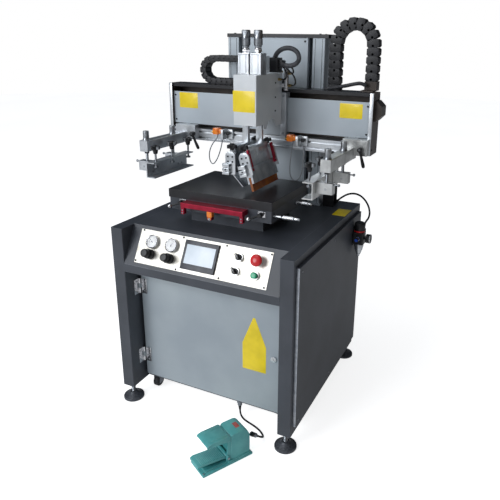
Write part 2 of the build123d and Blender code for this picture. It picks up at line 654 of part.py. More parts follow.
# ---- lift guides and cylinder inside the tower ----
guides = []
for x in (-SHAFT_X, SHAFT_X):
    guides.append(rod_z(x, SHAFT_Y, (CAB_TOP, TOWER_TOP), SHAFT_R))
node("lift_guides", *guides)
barrel = rod_z(0, SHAFT_Y, (CYL_Z, CYL_Z + CYL_L), CYL_R)
barrel -= rod_z(0, SHAFT_Y, (CYL_Z + 12, CYL_Z + CYL_L - 12), CYL_BORE)
barrel -= rod_z(0, SHAFT_Y, (CYL_Z + CYL_L - 12, CYL_Z + CYL_L), ROD_R + RUN)
barrel += block((-35, 35), (SHAFT_Y - 30, SHAFT_Y + 30), (CAB_TOP, CYL_Z))
node("lift_cylinder", barrel)

# ---- beam frame: back plate, end plates, and the crosshead that rides the lift guides ----
back_y = (BEAM_Y[1] - BEAM_BACK_T, BEAM_Y[1])
beam = block((-BEAM_HALF, BEAM_HALF), back_y, (BEAM_Z[0], BEAM_Z[1] - TOP_T))
for side in (-1, 1):
    end_x = sorted((side * BEAM_HALF, side * (BEAM_HALF + END_T)))
    beam += eased(block(end_x, BEAM_Y, BEAM_Z), 3, Axis.X)
    tab_x = (side * TAB_X - TAB_T / 2, side * TAB_X + TAB_T / 2)
    beam += block(tab_x, (BEAM_Y[1], SHAFT_Y + BUSH_W / 2), BUSH_Z)
    bush_x = sorted((side * (SHAFT_X - BUSH_W / 2), tab_x[0] if side > 0 else tab_x[1]))
    beam += block(bush_x, (SHAFT_Y - BUSH_W / 2, SHAFT_Y + BUSH_W / 2), BUSH_Z)
cross_z = (sum(BUSH_Z) / 2 - 15, sum(BUSH_Z) / 2 + 15)
beam += block((-SHAFT_X, SHAFT_X), (SHAFT_Y - 12, SHAFT_Y + 12), cross_z)
for x in (-SHAFT_X, SHAFT_X):
    beam -= rod_z(x, SHAFT_Y, BUSH_Z, SHAFT_R + RUN)
guide = block((-GUIDE_HALF, GUIDE_HALF), (GUIDE_Y, back_y[0]), GUIDE_Z)
beam += guide
piston_z = (CYL_Z + 20, CYL_Z + 40)
beam += rod_z(0, SHAFT_Y, (piston_z[0], cross_z[0]), ROD_R)
beam += rod_z(0, SHAFT_Y, piston_z, CYL_BORE - RUN)
chain_in = POST_X[0] + 2 * CHAIN_OUT_R - CHAIN_T
chain_out = POST_X[0] + 2 * CHAIN_OUT_R
bracket = block((chain_in, chain_out), (BEAM_Y[1] - 40, TOWER_Y + POST_D), (BEAM_Z[1], BEAM_Z[1] + 4))
bracket += block((chain_in, chain_out), (TOWER_Y, TOWER_Y + POST_D), (BEAM_Z[1], CHAIN_END_Z))
beam += bracket
node("beam_frame", beam)
end_cover = block(
    (BEAM_HALF + END_T, BEAM_HALF + END_T + END_COVER_OUT), END_COVER_Y, END_COVER_Z
)
end_cover = chamfer(end_cover.faces().sort_by(Axis.X)[-1].edges().filter_by(Axis.Y), 20)
node("belt_end_cover", end_cover)

# ---- beam top plate, front cover and screen rail ----
node("beam_top_plate", block((-BEAM_HALF, BEAM_HALF), TOP_Y, (BEAM_Z[1] - TOP_T, BEAM_Z[1])))
node("beam_front_cover", block((-BEAM_HALF, BEAM_HALF), (COVER_Y, COVER_Y + COVER_T), COVER_Z))
rail = block((-BEAM_HALF, BEAM_HALF), RAIL_Y, RAIL_Z)
rail_mid = sum(RAIL_Z) / 2
slot_y = (RAIL_Y[0], RAIL_Y[0] + SLOT_DEEP)
for z in (rail_mid - 12, rail_mid + 12):
    rail -= block((-BEAM_HALF, BEAM_HALF), slot_y, (z - SLOT_W / 2, z + SLOT_W / 2))
rail -= block((-BEAM_HALF, BEAM_HALF), (RAIL_Y[0] + 22, RAIL_Y[1] - 8), (RAIL_Z[0] + 6, RAIL_Z[1] - 6))
node("screen_rail", rail)

# ---- carriage saddle: front plate, inner plate through the two slots, and the guide block ----
car_x = (CAR_X - CAR_HALF, CAR_X + CAR_HALF)
saddle = block(car_x, (CAR_FRONT_Y, CAR_FRONT_Y + CAR_FRONT_T), CAR_Z)
saddle += block(car_x, (CAR_INNER_Y, CAR_INNER_Y + CAR_INNER_T), CAR_Z)
for z in ((CAR_Z[0], CAR_Z[0] + 10), (CAR_Z[1] - 12, CAR_Z[1])):
    saddle += block(car_x, (CAR_FRONT_Y, CAR_INNER_Y + CAR_INNER_T), z)
block_x = (CAR_X - BLOCK_HALF, CAR_X + BLOCK_HALF)
saddle += block(block_x, (CAR_INNER_Y, BLOCK_Y), BLOCK_Z)
saddle -= block(block_x, (GUIDE_Y - 0.3, BLOCK_Y), (GUIDE_Z[0] - 0.3, GUIDE_Z[1] + 0.3))
node("carriage_saddle", saddle)

# ---- carriage box: folded housing, open below, with an arch cut in each side ----
box_y = (BOX_Y, CAR_FRONT_Y)
housing = eased(block(BOX_X, box_y, BOX_Z), 2)
housing += block((BOX_X[0], BOX_X[1]), (-10, CAR_FRONT_Y), (BOX_Z[0] - 18, BOX_Z[0]))
housing -= block(
    (BOX_X[0] + BOX_T, BOX_X[1] - BOX_T), (BOX_Y + BOX_T, CAR_FRONT_Y), (BOX_Z[0] - 18, BOX_Z[1] - BOX_T)
)
housing -= rod_x((BOX_X[0] - 1, BOX_X[1] + 1), ARCH_Y, BOX_Z[0] - 32, ARCH_R)
for _, x in CYLINDERS:
    housing -= rod_z(x, CYL_Y, (BOX_Z[1] - BOX_T, BOX_Z[1]), 8 + RUN)
chain_plate_x = (BOX_X[0] - 2 - FLAT_CHAIN_PLATE_T, BOX_X[0] - 2)
upper_run_z = (BEAM_Z[1] + 2 * FLAT_CHAIN_R - FLAT_CHAIN_T, BEAM_Z[1] + 2 * FLAT_CHAIN_R)
foot_z = (BOX_Z[1], BOX_Z[1] + FLAT_CHAIN_PLATE_T)
housing += block((chain_plate_x[0], BOX_X[0] + 30), (CAR_FRONT_Y - 30, FLAT_CHAIN_Y[1]), foot_z)
housing += block(chain_plate_x, FLAT_CHAIN_Y, (BOX_Z[1], upper_run_z[1]))
node("carriage_box", housing)

# ---- the two lift cylinders of the head, with their stroke nuts ----
stroke_parts = []
for _, x in CYLINDERS:
    tube = eased(block((x - CYL_W / 2, x + CYL_W / 2), (CYL_Y - CYL_W / 2, CYL_Y + CYL_W / 2), STROKE_Z), 3)
    tube -= rod_z(x, CYL_Y, (STROKE_Z[1] - 20, STROKE_Z[1]), KNOB_STEM_R + RUN)
    tube -= rod_z(x, CYL_Y, (STROKE_Z[0], STROKE_Z[0] + 45), 6.5 + RUN)
    stroke_parts.append(tube)
    nut = extrude(Pos(x, CYL_Y, STROKE_Z[1]) * RegularPolygon(NUT_R, 6), amount=NUT_T)
    stroke_parts.append(nut - rod_z(x, CYL_Y, (STROKE_Z[1], STROKE_Z[1] + NUT_T), KNOB_STEM_R + RUN))
node("stroke_cylinders", *stroke_parts)
for name, x in CYLINDERS:
    knob = rod_z(x, CYL_Y, (STROKE_Z[1] + NUT_T + GAP, KNOB_TOP), KNOB_R)
    knob = chamfer(knob.edges(), 1.5)
    knob += rod_z(x, CYL_Y, (STROKE_Z[1] - 18, STROKE_Z[1] + NUT_T + GAP), KNOB_STEM_R)
    node(name, knob)


# ---- squeegee head ----
def leaned(shape, edge, angle):
    """Lean a tool drawn upright on Z = 0 so that its edge sits at (x, z)."""
    return Pos(edge[0], sum(HEAD_Y) / 2, edge[1]) * Rot(0, -angle, 0) * shape


def along(width, height, at=0.0):
    """A bar as long as the head, with its underside at Z = 0 and its middle at X = at."""
    head_l = HEAD_Y[1] - HEAD_Y[0]
    return Pos(at, 0, height / 2) * Box(width, head_l, height)


head_half = (HEAD_Y[1] - HEAD_Y[0]) / 2
blade = along(BLADE_T, BLADE_H)
holder = Pos(0, 0, BLADE_OUT) * along(HOLDER_T, HOLDER_H)
holder -= blade
holder += Pos(0, 0, BLADE_OUT + HOLDER_H) * along(WEB_T, WEB_TOP - BLADE_OUT - HOLDER_H)
node("squeegee_blade", leaned(blade, SQ_EDGE, LEAN))
strips = []
for y in (-head_half + 8, head_half - 8):
    strips.append(Pos(HOLDER_T / 2 + 3, y, 108) * Box(6, 14, 74))
for strip in strips:
    web_pad = Pos(HOLDER_T / 4 + 1, strip.center().Y, 108) * Box(HOLDER_T / 2 - 2, 14, 40)
    holder += web_pad
    holder += strip
node("squeegee_holder", leaned(holder, SQ_EDGE, LEAN))

end_plate_h = END_PLATE_Z[1] - END_PLATE_Z[0]


def hanger_ends(centre_x):
    """Both end plates with their pinch blocks and wing knobs, upright, with Z as in END_PLATE_Z."""
    made = []
    for side in (-1, 1):
        y = side * (head_half + END_PLATE_T / 2)
        plate_body = Pos(centre_x, y, sum(END_PLATE_Z) / 2) * Box(END_PLATE_W, END_PLATE_T, end_plate_h)
        plate_body = chamfer(plate_body.edges().filter_by(Axis.Y).sort_by(Axis.Z)[-2:], 12)
        for hole_z in (104, 122):
            plate_body -= Pos(centre_x, y, hole_z) * Rot(90, 0, 0) * Cylinder(3.2, 2 * END_PLATE_T)
        pinch_y = side * (head_half + END_PLATE_T + 7)
        pinch = Pos(centre_x - 12, pinch_y, sum(PINCH_Z) / 2) * Box(PINCH_W, 14, PINCH_Z[1] - PINCH_Z[0])
        for slit_z in (70, 84):
            pinch -= Pos(centre_x - 12 - PINCH_W / 2, pinch_y, slit_z) * Box(PINCH_W * 1.2, 16, 3)
        made.append(plate_body + pinch)
        stem = Pos(centre_x, side * (head_half - 8), END_PLATE_Z[1] + 2) * Cylinder(4, 16)
        wing = Pos(centre_x, side * (head_half - 8), END_PLATE_Z[1] + 10) * arm_wing(WING_R, WING_T)
        made.append(stem + wing)
    return made


sq_parts = [leaned(piece, SQ_EDGE, LEAN) for piece in hanger_ends(0)]
cross_y = sum(HEAD_Y) / 2
cross_span = (cross_y - head_half + 24, cross_y + head_half - 24)
sq_cross = block((SQ_CROSS_X - 9, SQ_CROSS_X + 9), cross_span, CROSS_Z)
sq_cross += block(
    (SQ_CROSS_X - HANGER_W / 2, SQ_CROSS_X + HANGER_W / 2), (CYL_Y - HANGER_T / 2, CYL_Y + HANGER_T / 2),
    (CROSS_Z[0], HANGER_TOP),
)
sq_cross += rod_z(CYLINDERS[1][1], CYL_Y, (HANGER_TOP - 8, STROKE_Z[0] + 8), 6.5)
web_top_piece = leaned(Pos(0, 0, WEB_TOP) * along(WEB_T, 14), SQ_EDGE, LEAN)
sq_cross += web_top_piece & block((SQ_CROSS_X - 64, SQ_CROSS_X + 136), cross_span, (SQ_EDGE[1], HANGER_TOP))
node("squeegee_hanger", sq_cross, *sq_parts)

# ---- flood bar: a thin blade leaning at 45 degrees under its own hanger ----
flood_blade = leaned(along(FLOOD_T, FLOOD_L), FLOOD_EDGE, FLOOD_LEAN)
flood_web_x = (FLOOD_TOP[0] - 8, FLOOD_TOP[0] + 8)
flood_web = block(flood_web_x, HEAD_Y, (FLOOD_TOP[1] - 1, CROSS_Z[0] - 10))
flood_web += block(flood_web_x, (HEAD_Y[0] + 24, HEAD_Y[1] - 24), (FLOOD_TOP[1], CROSS_Z[0]))
node("flood_bar", flood_blade + flood_web)
flood_parts = []
for piece in hanger_ends(0):
    flood_parts.append(Pos(FLOOD_TOP[0], cross_y, SQ_EDGE[1] - 4) * piece)
flood_cross = block((FLOOD_CROSS_X - 7, FLOOD_TOP[0] + 8), cross_span, CROSS_Z)
flood_cross += block(
    (FLOOD_CROSS_X - HANGER_W / 2, FLOOD_CROSS_X + HANGER_W / 2),
    (CYL_Y - HANGER_T / 2, CYL_Y + HANGER_T / 2), (CROSS_Z[0], HANGER_TOP),
)
flood_cross += rod_z(CYLINDERS[0][1], CYL_Y, (HANGER_TOP - 8, STROKE_Z[0] + 8), 6.5)
node("flood_hanger", flood_cross, *flood_parts)

# ---- screen arms: bar, rail bracket, hanger studs and the clamp channel ----
for side, bar_x, bracket_x, lever_x, lever_dx in ARMS:
    sign = -1 if side == "left" else 1
    arm = eased(block((bar_x, bar_x + ARM_W), ARM_Y, ARM_Z), 3, Axis.Y)
    bracket_y = (ARM_Y[1], RAIL_Y[0] - 0.3)
    arm += block((bracket_x, bracket_x + BRACKET_W), bracket_y, BRACKET_Z)
    hook_y = (bracket_y[0], COVER_Y - 2)
    arm += block((bar_x, bar_x + ARM_W), hook_y, (RAIL_Z[1] + 0.3, COVER_Z[0] - GAP))
    arm += block((bar_x, bar_x + ARM_W), bracket_y, (ARM_Z[0], BRACKET_Z[0]))
    arm -= rod_y(lever_x, (ARM_Y[1], RAIL_Y[0] - 0.3), LEVER_Z, 4 + RUN)
    pieces = [arm]
    stud_x = bar_x + ARM_W / 2
    web_x = sign * (CHANNEL_TIP + CHANNEL_DEEP)
    hanger_z = (CHANNEL_Z[1] - 42, CHANNEL_Z[1] - 4)
    for y in POST_YS:
        pieces.append(rod_z(stud_x, y, (ARM_Z[1], ARM_Z[1] + CAP_H), CAP_R))
        stud = rod_z(stud_x, y, (hanger_z[1], ARM_Z[0]), STUD_R)
        stud += extrude(Pos(stud_x, y, ARM_Z[0] - 8) * RegularPolygon(9, 6), amount=8)
        hanger_block = block(sorted((web_x, sign * 396)), (y - 15, y + 15), hanger_z)
        hanger_block = eased(hanger_block, 2)
        pieces.append(stud + hanger_block)
    channel = block(sorted((sign * CHANNEL_TIP, web_x)), CHANNEL_Y, CHANNEL_Z)
    channel -= block(
        sorted((sign * (CHANNEL_TIP - 1), web_x - sign * CHANNEL_T)), CHANNEL_Y,
        (CHANNEL_Z[0] + CHANNEL_T, CHANNEL_Z[1] - CHANNEL_T),
    )
    screw_x = sign * (CHANNEL_TIP + CHANNEL_DEEP / 2 - 6)
    for y in SCREW_YS:
        channel -= rod_z(screw_x, y, (CHANNEL_Z[1] - CHANNEL_T - 1, CHANNEL_Z[1] + 1), SCREW_R + RUN)
    pieces.append(channel)
    node(f"{side}_arm", *pieces)

    screws = []
    for y in SCREW_YS:
        screw = rod_z(screw_x, y, (PAD_Z[0], SCREW_KNOB_Z[0] + 6), SCREW_R)
        screw += rod_z(screw_x, y, PAD_Z, PAD_R)
        hub_h = SCREW_KNOB_Z[1] - WING_T - SCREW_KNOB_Z[0]
        screw += Pos(screw_x, y, SCREW_KNOB_Z[0] + hub_h / 2) * Cone(SCREW_HUB_R, SCREW_HUB_R + 4, hub_h)
        screw += Pos(screw_x, y, SCREW_KNOB_Z[1] - WING_T) * arm_wing(WING_R, WING_T)
        screws.append(screw)
    node(f"{side}_clamp_screws", *screws)

    lever_y = (ARM_Y[1] - 20, ARM_Y[1] - GAP)
    lever = rod_y(lever_x, lever_y, LEVER_Z, LEVER_R)
    lever += rod_y(lever_x, (ARM_Y[1] - GAP, ARM_Y[1] + 14), LEVER_Z, 4)
    lean = math.degrees(math.atan2(lever_dx, math.sqrt(LEVER_L**2 - lever_dx**2)))
    bar = Pos(0, 0, -LEVER_L / 2) * Box(9, 9, LEVER_L)
    bar += Pos(0, 0, -LEVER_L) * Sphere(6.5)
    lever += Pos(lever_x, lever_y[0] + 6, LEVER_Z) * Rot(0, -lean, 0) * bar
    node(f"{side}_arm_lever", lever)

# ---- drag chains: closed solids of the outer shape ----
arc_x = POST_X[0] + CHAIN_OUT_R
chain_y = TOWER_Y + CHAIN_W / 2
outer = Cylinder(CHAIN_OUT_R, CHAIN_W) - Cylinder(CHAIN_OUT_R - CHAIN_T, CHAIN_W)
outer &= Pos(0, CHAIN_OUT_R / 2, 0) * Box(2 * CHAIN_OUT_R, CHAIN_OUT_R, CHAIN_W)
arc = Pos(arc_x, chain_y, CHAIN_ARC_Z) * Rot(90, 0, 0) * outer
tall_chain = arc + block(POST_X, (TOWER_Y, TOWER_Y + CHAIN_W), (POST_TOP, CHAIN_ARC_Z))
tall_chain += block((chain_in, chain_out), (TOWER_Y, TOWER_Y + CHAIN_W), (CHAIN_END_Z, CHAIN_ARC_Z))
node("vertical_drag_chain", tall_chain)

flat_mid_z = BEAM_Z[1] + FLAT_CHAIN_R
flat_w = FLAT_CHAIN_Y[1] - FLAT_CHAIN_Y[0]
flat = Cylinder(FLAT_CHAIN_R, flat_w) - Cylinder(FLAT_CHAIN_R - FLAT_CHAIN_T, flat_w)
flat &= Pos(-FLAT_CHAIN_R / 2, 0, 0) * Box(FLAT_CHAIN_R, 2 * FLAT_CHAIN_R, flat_w)
flat_y = sum(FLAT_CHAIN_Y) / 2
flat_chain = Pos(FLAT_CHAIN_ARC_X, flat_y, flat_mid_z) * Rot(90, 0, 0) * flat
flat_chain += block(
    (FLAT_CHAIN_ARC_X, FLAT_CHAIN_ANCHOR_X), FLAT_CHAIN_Y, (BEAM_Z[1], BEAM_Z[1] + FLAT_CHAIN_T)
)
flat_chain += block((FLAT_CHAIN_ARC_X, chain_plate_x[0] - RUN), FLAT_CHAIN_Y, upper_run_z)
node("carriage_drag_chain", flat_chain)

# ---- air unit: wall bracket, regulator body, bowl, gauge and fittings ----
air_x = (AIR_X - AIR_W / 2, AIR_X + AIR_W / 2)
air_y = (AIR_Y - AIR_W / 2, AIR_Y + AIR_W / 2)
air_parts = []
air_body = eased(block(air_x, air_y, AIR_Z), 5)
air_body += rod_x((air_x[1], air_x[1] + 26), AIR_Y, sum(AIR_Z) / 2, 6)
air_body += rod_x((air_x[1] + 8, air_x[1] + 26), AIR_Y, sum(AIR_Z) / 2, 18)
air_body -= rod_z(AIR_X, AIR_Y, (AIR_Z[1] - 14, AIR_Z[1]), AIR_STEM_R + RUN)
air_parts.append(air_body)
taper_top = AIR_Z[0] - (AIR_Z[0] - BOWL_LOW) / 4
bowl = rod_z(AIR_X, AIR_Y, (taper_top, AIR_Z[0]), BOWL_R)
bowl += Pos(AIR_X, AIR_Y, (BOWL_LOW + taper_top) / 2) * Cone(BOWL_TIP_R, BOWL_R, taper_top - BOWL_LOW)
bowl += rod_z(AIR_X, AIR_Y, (BOWL_LOW - DRAIN_L, BOWL_LOW), BOWL_TIP_R - 3)
air_parts.append(bowl)
air_parts.append(rod_y(AIR_X, (air_y[0] - 22, air_y[0]), sum(AIR_Z) / 2, 8))
hose_x, hose_y, hose_z = AIR_HOSE[-1]
elbow = rod_z(hose_x, hose_y, (hose_z - 2 * ELBOW_R - 16, hose_z), ELBOW_R)
elbow += rod_y(hose_x, (air_y[1], hose_y), hose_z - ELBOW_R - 10, ELBOW_R)
air_parts.append(elbow)
bracket_z = (AIR_Z[0] - 10, AIR_Z[1] + 20)
air_parts.append(block((half_w + PANEL_T, air_x[0]), (AIR_Y - 12, AIR_Y + 12), bracket_z))
node("air_unit", *air_parts)
air_knob = rod_z(AIR_X, AIR_Y, (AIR_Z[1] + GAP, AIR_KNOB_TOP), AIR_KNOB_R)
air_knob = fillet(air_knob.edges().sort_by(Axis.Z)[-1], 3)
air_knob -= block((0, air_x[0] + 0.2), air_y, (AIR_Z[1], AIR_Z[1] + 21))
air_knob += rod_z(AIR_X, AIR_Y, (AIR_Z[1] - 12, AIR_Z[1] + GAP), AIR_STEM_R)
node("air_unit_knob", air_knob)

# ---- foot pedal: cast base with its hooded housing, and the ribbed treadle on a pin ----
pedal_place = Pos(PEDAL_AT[0], PEDAL_AT[1], 0) * Rot(0, 0, PEDAL_TURN)
rear = PEDAL_L / 2
front = -PEDAL_L / 2
wall = 7
pedal = eased(block((front, rear), (-PEDAL_W / 2, PEDAL_W / 2), (0, PEDAL_BASE_T)), 5)
housing_x = (rear - HOUSING_L, rear - 8)
pedal += eased(block(housing_x, (-PEDAL_W / 2 + 6, PEDAL_W / 2 - 6), (PEDAL_BASE_T, HOUSING_H)), 6)
hood_x = (front + 22, housing_x[0] + 10)
pedal += block(hood_x, (-PEDAL_W / 2 + 6, PEDAL_W / 2 - 6), (HOUSING_H - HOOD_T, HOUSING_H))
side_wall_x = (housing_x[0] - 38, housing_x[0] + 4)
for side in (-1, 1):
    wall_y = sorted((side * (PEDAL_W / 2 - 6), side * (PEDAL_W / 2 - 6 - wall)))
    pedal += block(side_wall_x, wall_y, (PEDAL_BASE_T, HOUSING_H))
pin_at = (housing_x[0] - 10, 26)
wall_in = PEDAL_W / 2 - 6 - wall
pedal -= block((housing_x[0] - 1, housing_x[0] + 18), (-wall_in, wall_in), (PEDAL_BASE_T, HOUSING_H - HOOD_T))
pedal += rod_y(pin_at[0], (-wall_in - 2, wall_in + 2), pin_at[1], TREADLE_PIN_R)
node("pedal_base", pedal_place * pedal)

tread_half = wall_in - 1.5
tread_y = (-tread_half, tread_half)
tread_z = (pin_at[1] - 5, pin_at[1] - 5 + TREADLE_T)
treadle = block((pin_at[0] - TREADLE_L, pin_at[0] + 8), tread_y, tread_z)
for step in range(9):
    rib_x = pin_at[0] - TREADLE_L + 8 + 10 * step
    treadle += block((rib_x, rib_x + 4), tread_y, (tread_z[1], tread_z[1] + 2))
treadle += rod_y(pin_at[0], (-tread_half, tread_half), pin_at[1], TREADLE_PIN_R + 4)
treadle -= rod_y(pin_at[0], (-tread_half - 1, tread_half + 1), pin_at[1], TREADLE_PIN_R + RUN)
treadle = Pos(pin_at[0], 0, pin_at[1]) * Rot(0, 6, 0) * Pos(-pin_at[0], 0, -pin_at[1]) * treadle
node("pedal_treadle", pedal_place * treadle)


# ---- cords: straight runs joined by tangent arcs ----
def cord_tube(name, route, diameter):
    """A round tube along a route, each arc as large as its two runs allow."""
    points = [Vector(*point) for point in route]
    runs = [after - before for before, after in zip(points, points[1:])]
    radii = []
    for before, after in zip(runs, runs[1:]):
        turn = math.radians(before.get_angle(after))
        shorter = min(before.length, after.length)
        radii.append(0.45 * shorter / math.tan(turn / 2))
    path = FilletPolyline(*points, radius=radii)
    start = Plane(origin=points[0], z_dir=runs[0])
    tube = sweep(start * Circle(diameter / 2), path=path)
    print(name, "length", round(path.length, 1), "radii", [round(radius) for radius in radii],
          "volume ratio", round(tube.volume / (path.length * math.pi * diameter**2 / 4), 4))
    node(name, tube)


cord_tube("pedal_cable", PEDAL_CABLE, CABLE_D)
cord_tube("air_hose", AIR_HOSE, HOSE_D)
gland_x, gland_y = GLAND_AT
floor_gland = rod_z(gland_x, gland_y, (GLAND_LOW, FLOOR_Z + FLOOR_T + 4), GLAND_R - RUN)
floor_gland += extrude(Pos(gland_x, gland_y, FLOOR_Z - 8) * RegularPolygon(13, 6), amount=8)
end = Vector(*PEDAL_CABLE[-1])
heading = (Vector(*PEDAL_CABLE[-2]) - end).normalized()
pedal_gland_l = 20
gland_plane = Plane(origin=end - heading * pedal_gland_l, z_dir=heading)
pedal_gland = gland_plane * Cylinder(8, pedal_gland_l, align=(Align.CENTER, Align.CENTER, Align.MIN))
pedal_gland -= pedal_place * pedal
node("cable_glands", floor_gland, pedal_gland)

# ---- shift to the bottom centre of the machine, cords left out, and write one file per sub-part ----
solid_parts = [solid for name, solids in nodes.items() if name not in cord_names for solid in solids]
whole = Compound(solid_parts).bounding_box()
shift = Vector(-(whole.min.X + whole.max.X) / 2, -(whole.min.Y + whole.max.Y) / 2, -whole.min.Z)
print("shift", shift, "size", whole.size, "nodes", len(nodes))
for name, solids in nodes.items():
    moved = [Pos(shift) * solid for solid in solids]
    export_step(moved[0] if len(moved) == 1 else Compound(moved), f"parts/{name}.step")
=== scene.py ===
import json
import math

import bmesh
import bpy
from mathutils import Matrix, Vector

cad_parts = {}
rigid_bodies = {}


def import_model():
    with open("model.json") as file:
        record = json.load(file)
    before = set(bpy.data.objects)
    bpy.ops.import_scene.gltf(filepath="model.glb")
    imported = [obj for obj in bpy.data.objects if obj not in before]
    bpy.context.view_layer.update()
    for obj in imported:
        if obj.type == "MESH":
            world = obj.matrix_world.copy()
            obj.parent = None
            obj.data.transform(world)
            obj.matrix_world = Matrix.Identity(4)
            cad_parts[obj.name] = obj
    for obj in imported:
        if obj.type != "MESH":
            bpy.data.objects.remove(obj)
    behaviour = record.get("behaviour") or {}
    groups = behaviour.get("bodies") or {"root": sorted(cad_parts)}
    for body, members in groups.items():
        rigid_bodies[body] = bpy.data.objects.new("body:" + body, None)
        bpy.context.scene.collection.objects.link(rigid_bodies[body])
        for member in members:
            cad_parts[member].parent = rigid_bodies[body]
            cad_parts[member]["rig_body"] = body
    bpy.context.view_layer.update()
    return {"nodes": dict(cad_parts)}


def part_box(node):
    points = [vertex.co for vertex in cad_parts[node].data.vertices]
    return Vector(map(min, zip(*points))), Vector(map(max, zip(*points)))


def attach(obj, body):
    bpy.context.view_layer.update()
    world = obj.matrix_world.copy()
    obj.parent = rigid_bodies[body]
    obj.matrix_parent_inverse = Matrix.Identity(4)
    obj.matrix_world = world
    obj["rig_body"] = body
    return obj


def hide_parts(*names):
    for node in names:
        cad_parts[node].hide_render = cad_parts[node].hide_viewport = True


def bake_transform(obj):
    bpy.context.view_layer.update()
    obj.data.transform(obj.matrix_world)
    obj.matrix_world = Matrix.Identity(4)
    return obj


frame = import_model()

# Where things are: every measure below is in millimetres from the middle of the cabinet's footprint, X to the
# operator's right, Y to the back and Z up from the floor, and is turned into the shared frame's metres.
cabinet_low, cabinet_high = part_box("cabinet_frame")
home = Vector(((cabinet_low.x + cabinet_high.x) / 2, (cabinet_low.y + cabinet_high.y) / 2, 0))


def at(x, y, z):
    """A place on the machine."""
    return home + Vector((x, y, z)) / 1000


# Viewpoint: a standing visitor's, right of the operator and above the beam, with a slight tilt of the head.
camera = bpy.data.objects.new("camera", bpy.data.cameras.new("camera"))
bpy.context.scene.collection.objects.link(camera)
camera.matrix_world = (
    Matrix.Translation(at(943, -1771, 1362))
    @ Matrix.Rotation(math.radians(24.1), 4, "Z")
    @ Matrix.Rotation(math.radians(90 - 17.9), 4, "X")
    @ Matrix.Rotation(math.radians(0.99), 4, "Z")
)
camera.data.lens = 38.66
camera.data.shift_x = -0.0612
camera.data.shift_y = -0.0666
bpy.context.scene.camera = camera

# ---- Pedal cable and air hose ----
# The pedal's control cable is stranded copper in a soft black PVC sheath, and the air hose is black
# polyurethane tube. Both are held at each end by a gland or push-in fitting, and hang or lie under their own
# weight between them.


def linear(code):
    """An sRGB hex colour as the linear colour that a shader takes."""
    parts = [int(code[i:i + 2], 16) / 255 for i in (0, 2, 4)]
    return (*[p / 12.92 if p <= 0.04045 else ((p + 0.055) / 1.055) ** 2.4 for p in parts], 1)


def add(tree, kind, inputs=None, **settings):
    """One node: its own settings, then its sockets' values or the sockets that feed them."""
    made = tree.nodes.new("ShaderNode" + kind)
    for key, value in settings.items():
        setattr(made, key, value)
    for key, value in (inputs or {}).items():
        if isinstance(value, bpy.types.NodeSocket):
            tree.links.new(value, made.inputs[key])
        else:
            made.inputs[key].default_value = value
    return made


def surface(name, colour, roughness, metallic, clouds, relief=None, **sockets):
    """A named finish: its shader's values, then the uneven colour and the relief that its making gives it."""
    material = bpy.data.materials.new(name)
    material.use_nodes = True
    tree = material.node_tree
    shader = tree.nodes["Principled BSDF"]
    values = {"Base_Color": linear(colour), "Roughness": roughness, "Metallic": metallic, **sockets}
    for key, value in values.items():
        shader.inputs[key.replace("_", " ")].default_value = value
    if clouds:
        mottled(tree, shader, *clouds)
    if relief:
        bumped(tree, shader, *relief)
    return material


def mottled(tree, shader, dark, light, scale_mm, low=0.35, high=0.65, detail=4, stretch=(1, 1, 1)):
    """Uneven colour of the made thing: noise of a real size in millimetres between two close colours."""
    place = add(tree, "TexCoord")
    spread = add(tree, "Mapping", {"Vector": place.outputs["Object"], "Scale": stretch})
    noise = add(tree, "TexNoise", {"Vector": spread.outputs[0], "Scale": 1000 / scale_mm, "Detail": detail})
    ramp = add(tree, "ValToRGB", {"Fac": noise.outputs["Fac"]})
    ramp.color_ramp.elements[0].position, ramp.color_ramp.elements[1].position = low, high
    ramp.color_ramp.elements[0].color, ramp.color_ramp.elements[1].color = linear(dark), linear(light)
    tree.links.new(ramp.outputs[0], shader.inputs["Base Color"])


def bumped(tree, shader, scale_mm, height_mm, strength=0.4, detail=2, stretch=(1, 1, 1)):
    """Relief of a real size in millimetres, such as the orange peel of a powder coat."""
    place = add(tree, "TexCoord")
    spread = add(tree, "Mapping", {"Vector": place.outputs["Object"], "Scale": stretch})
    noise = add(tree, "TexNoise", {"Vector": spread.outputs[0], "Scale": 1000 / scale_mm, "Detail": detail})
    relief = add(tree, "Bump", {"Height": noise.outputs["Fac"], "Distance": height_mm / 1000,
                                "Strength": strength})
    tree.links.new(relief.outputs[0], shader.inputs["Normal"])


# PVC sheath: matt black with a faint bloom, and extrusion ripple every 3 mm or so.
pvc_sheath = surface("extruded_pvc_sheath", "16161a", 0.46, 0, ("121215", "1d1d21", 25), (3, 0.2),
                     Coat_Weight=0.1)
# Polyurethane tube: the same black, smoother and glossier, so it carries one long highlight.
air_tube = surface("extruded_polyurethane_tube", "0e0e10", 0.26, 0, ("0b0b0d", "141417", 40),
                   Coat_Weight=0.25)


def line_of(name, points):
    """A smooth curve with these points, in millimetres, as its control points."""
    curve = bpy.data.curves.new(name, "CURVE")
    curve.dimensions = "3D"
    curve.resolution_u = 16
    curve.bevel_resolution = 5
    curve.use_fill_caps = True
    spline = curve.splines.new("NURBS")
    spline.points.add(len(points) - 1)
    for knot, point in zip(spline.points, points):
        knot.co = (*at(*point), 1)
    spline.order_u = 3
    spline.use_endpoint_u = True
    made = bpy.data.objects.new(name, curve)
    bpy.context.scene.collection.objects.link(made)
    return made


def tube(name, points, thick, body, finish):
    """A cord or hose, so many millimetres thick, along a smooth curve."""
    made = line_of(name, points)
    made.data.bevel_depth = thick / 2000
    made.data.materials.append(finish)
    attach(made, body)
    return made


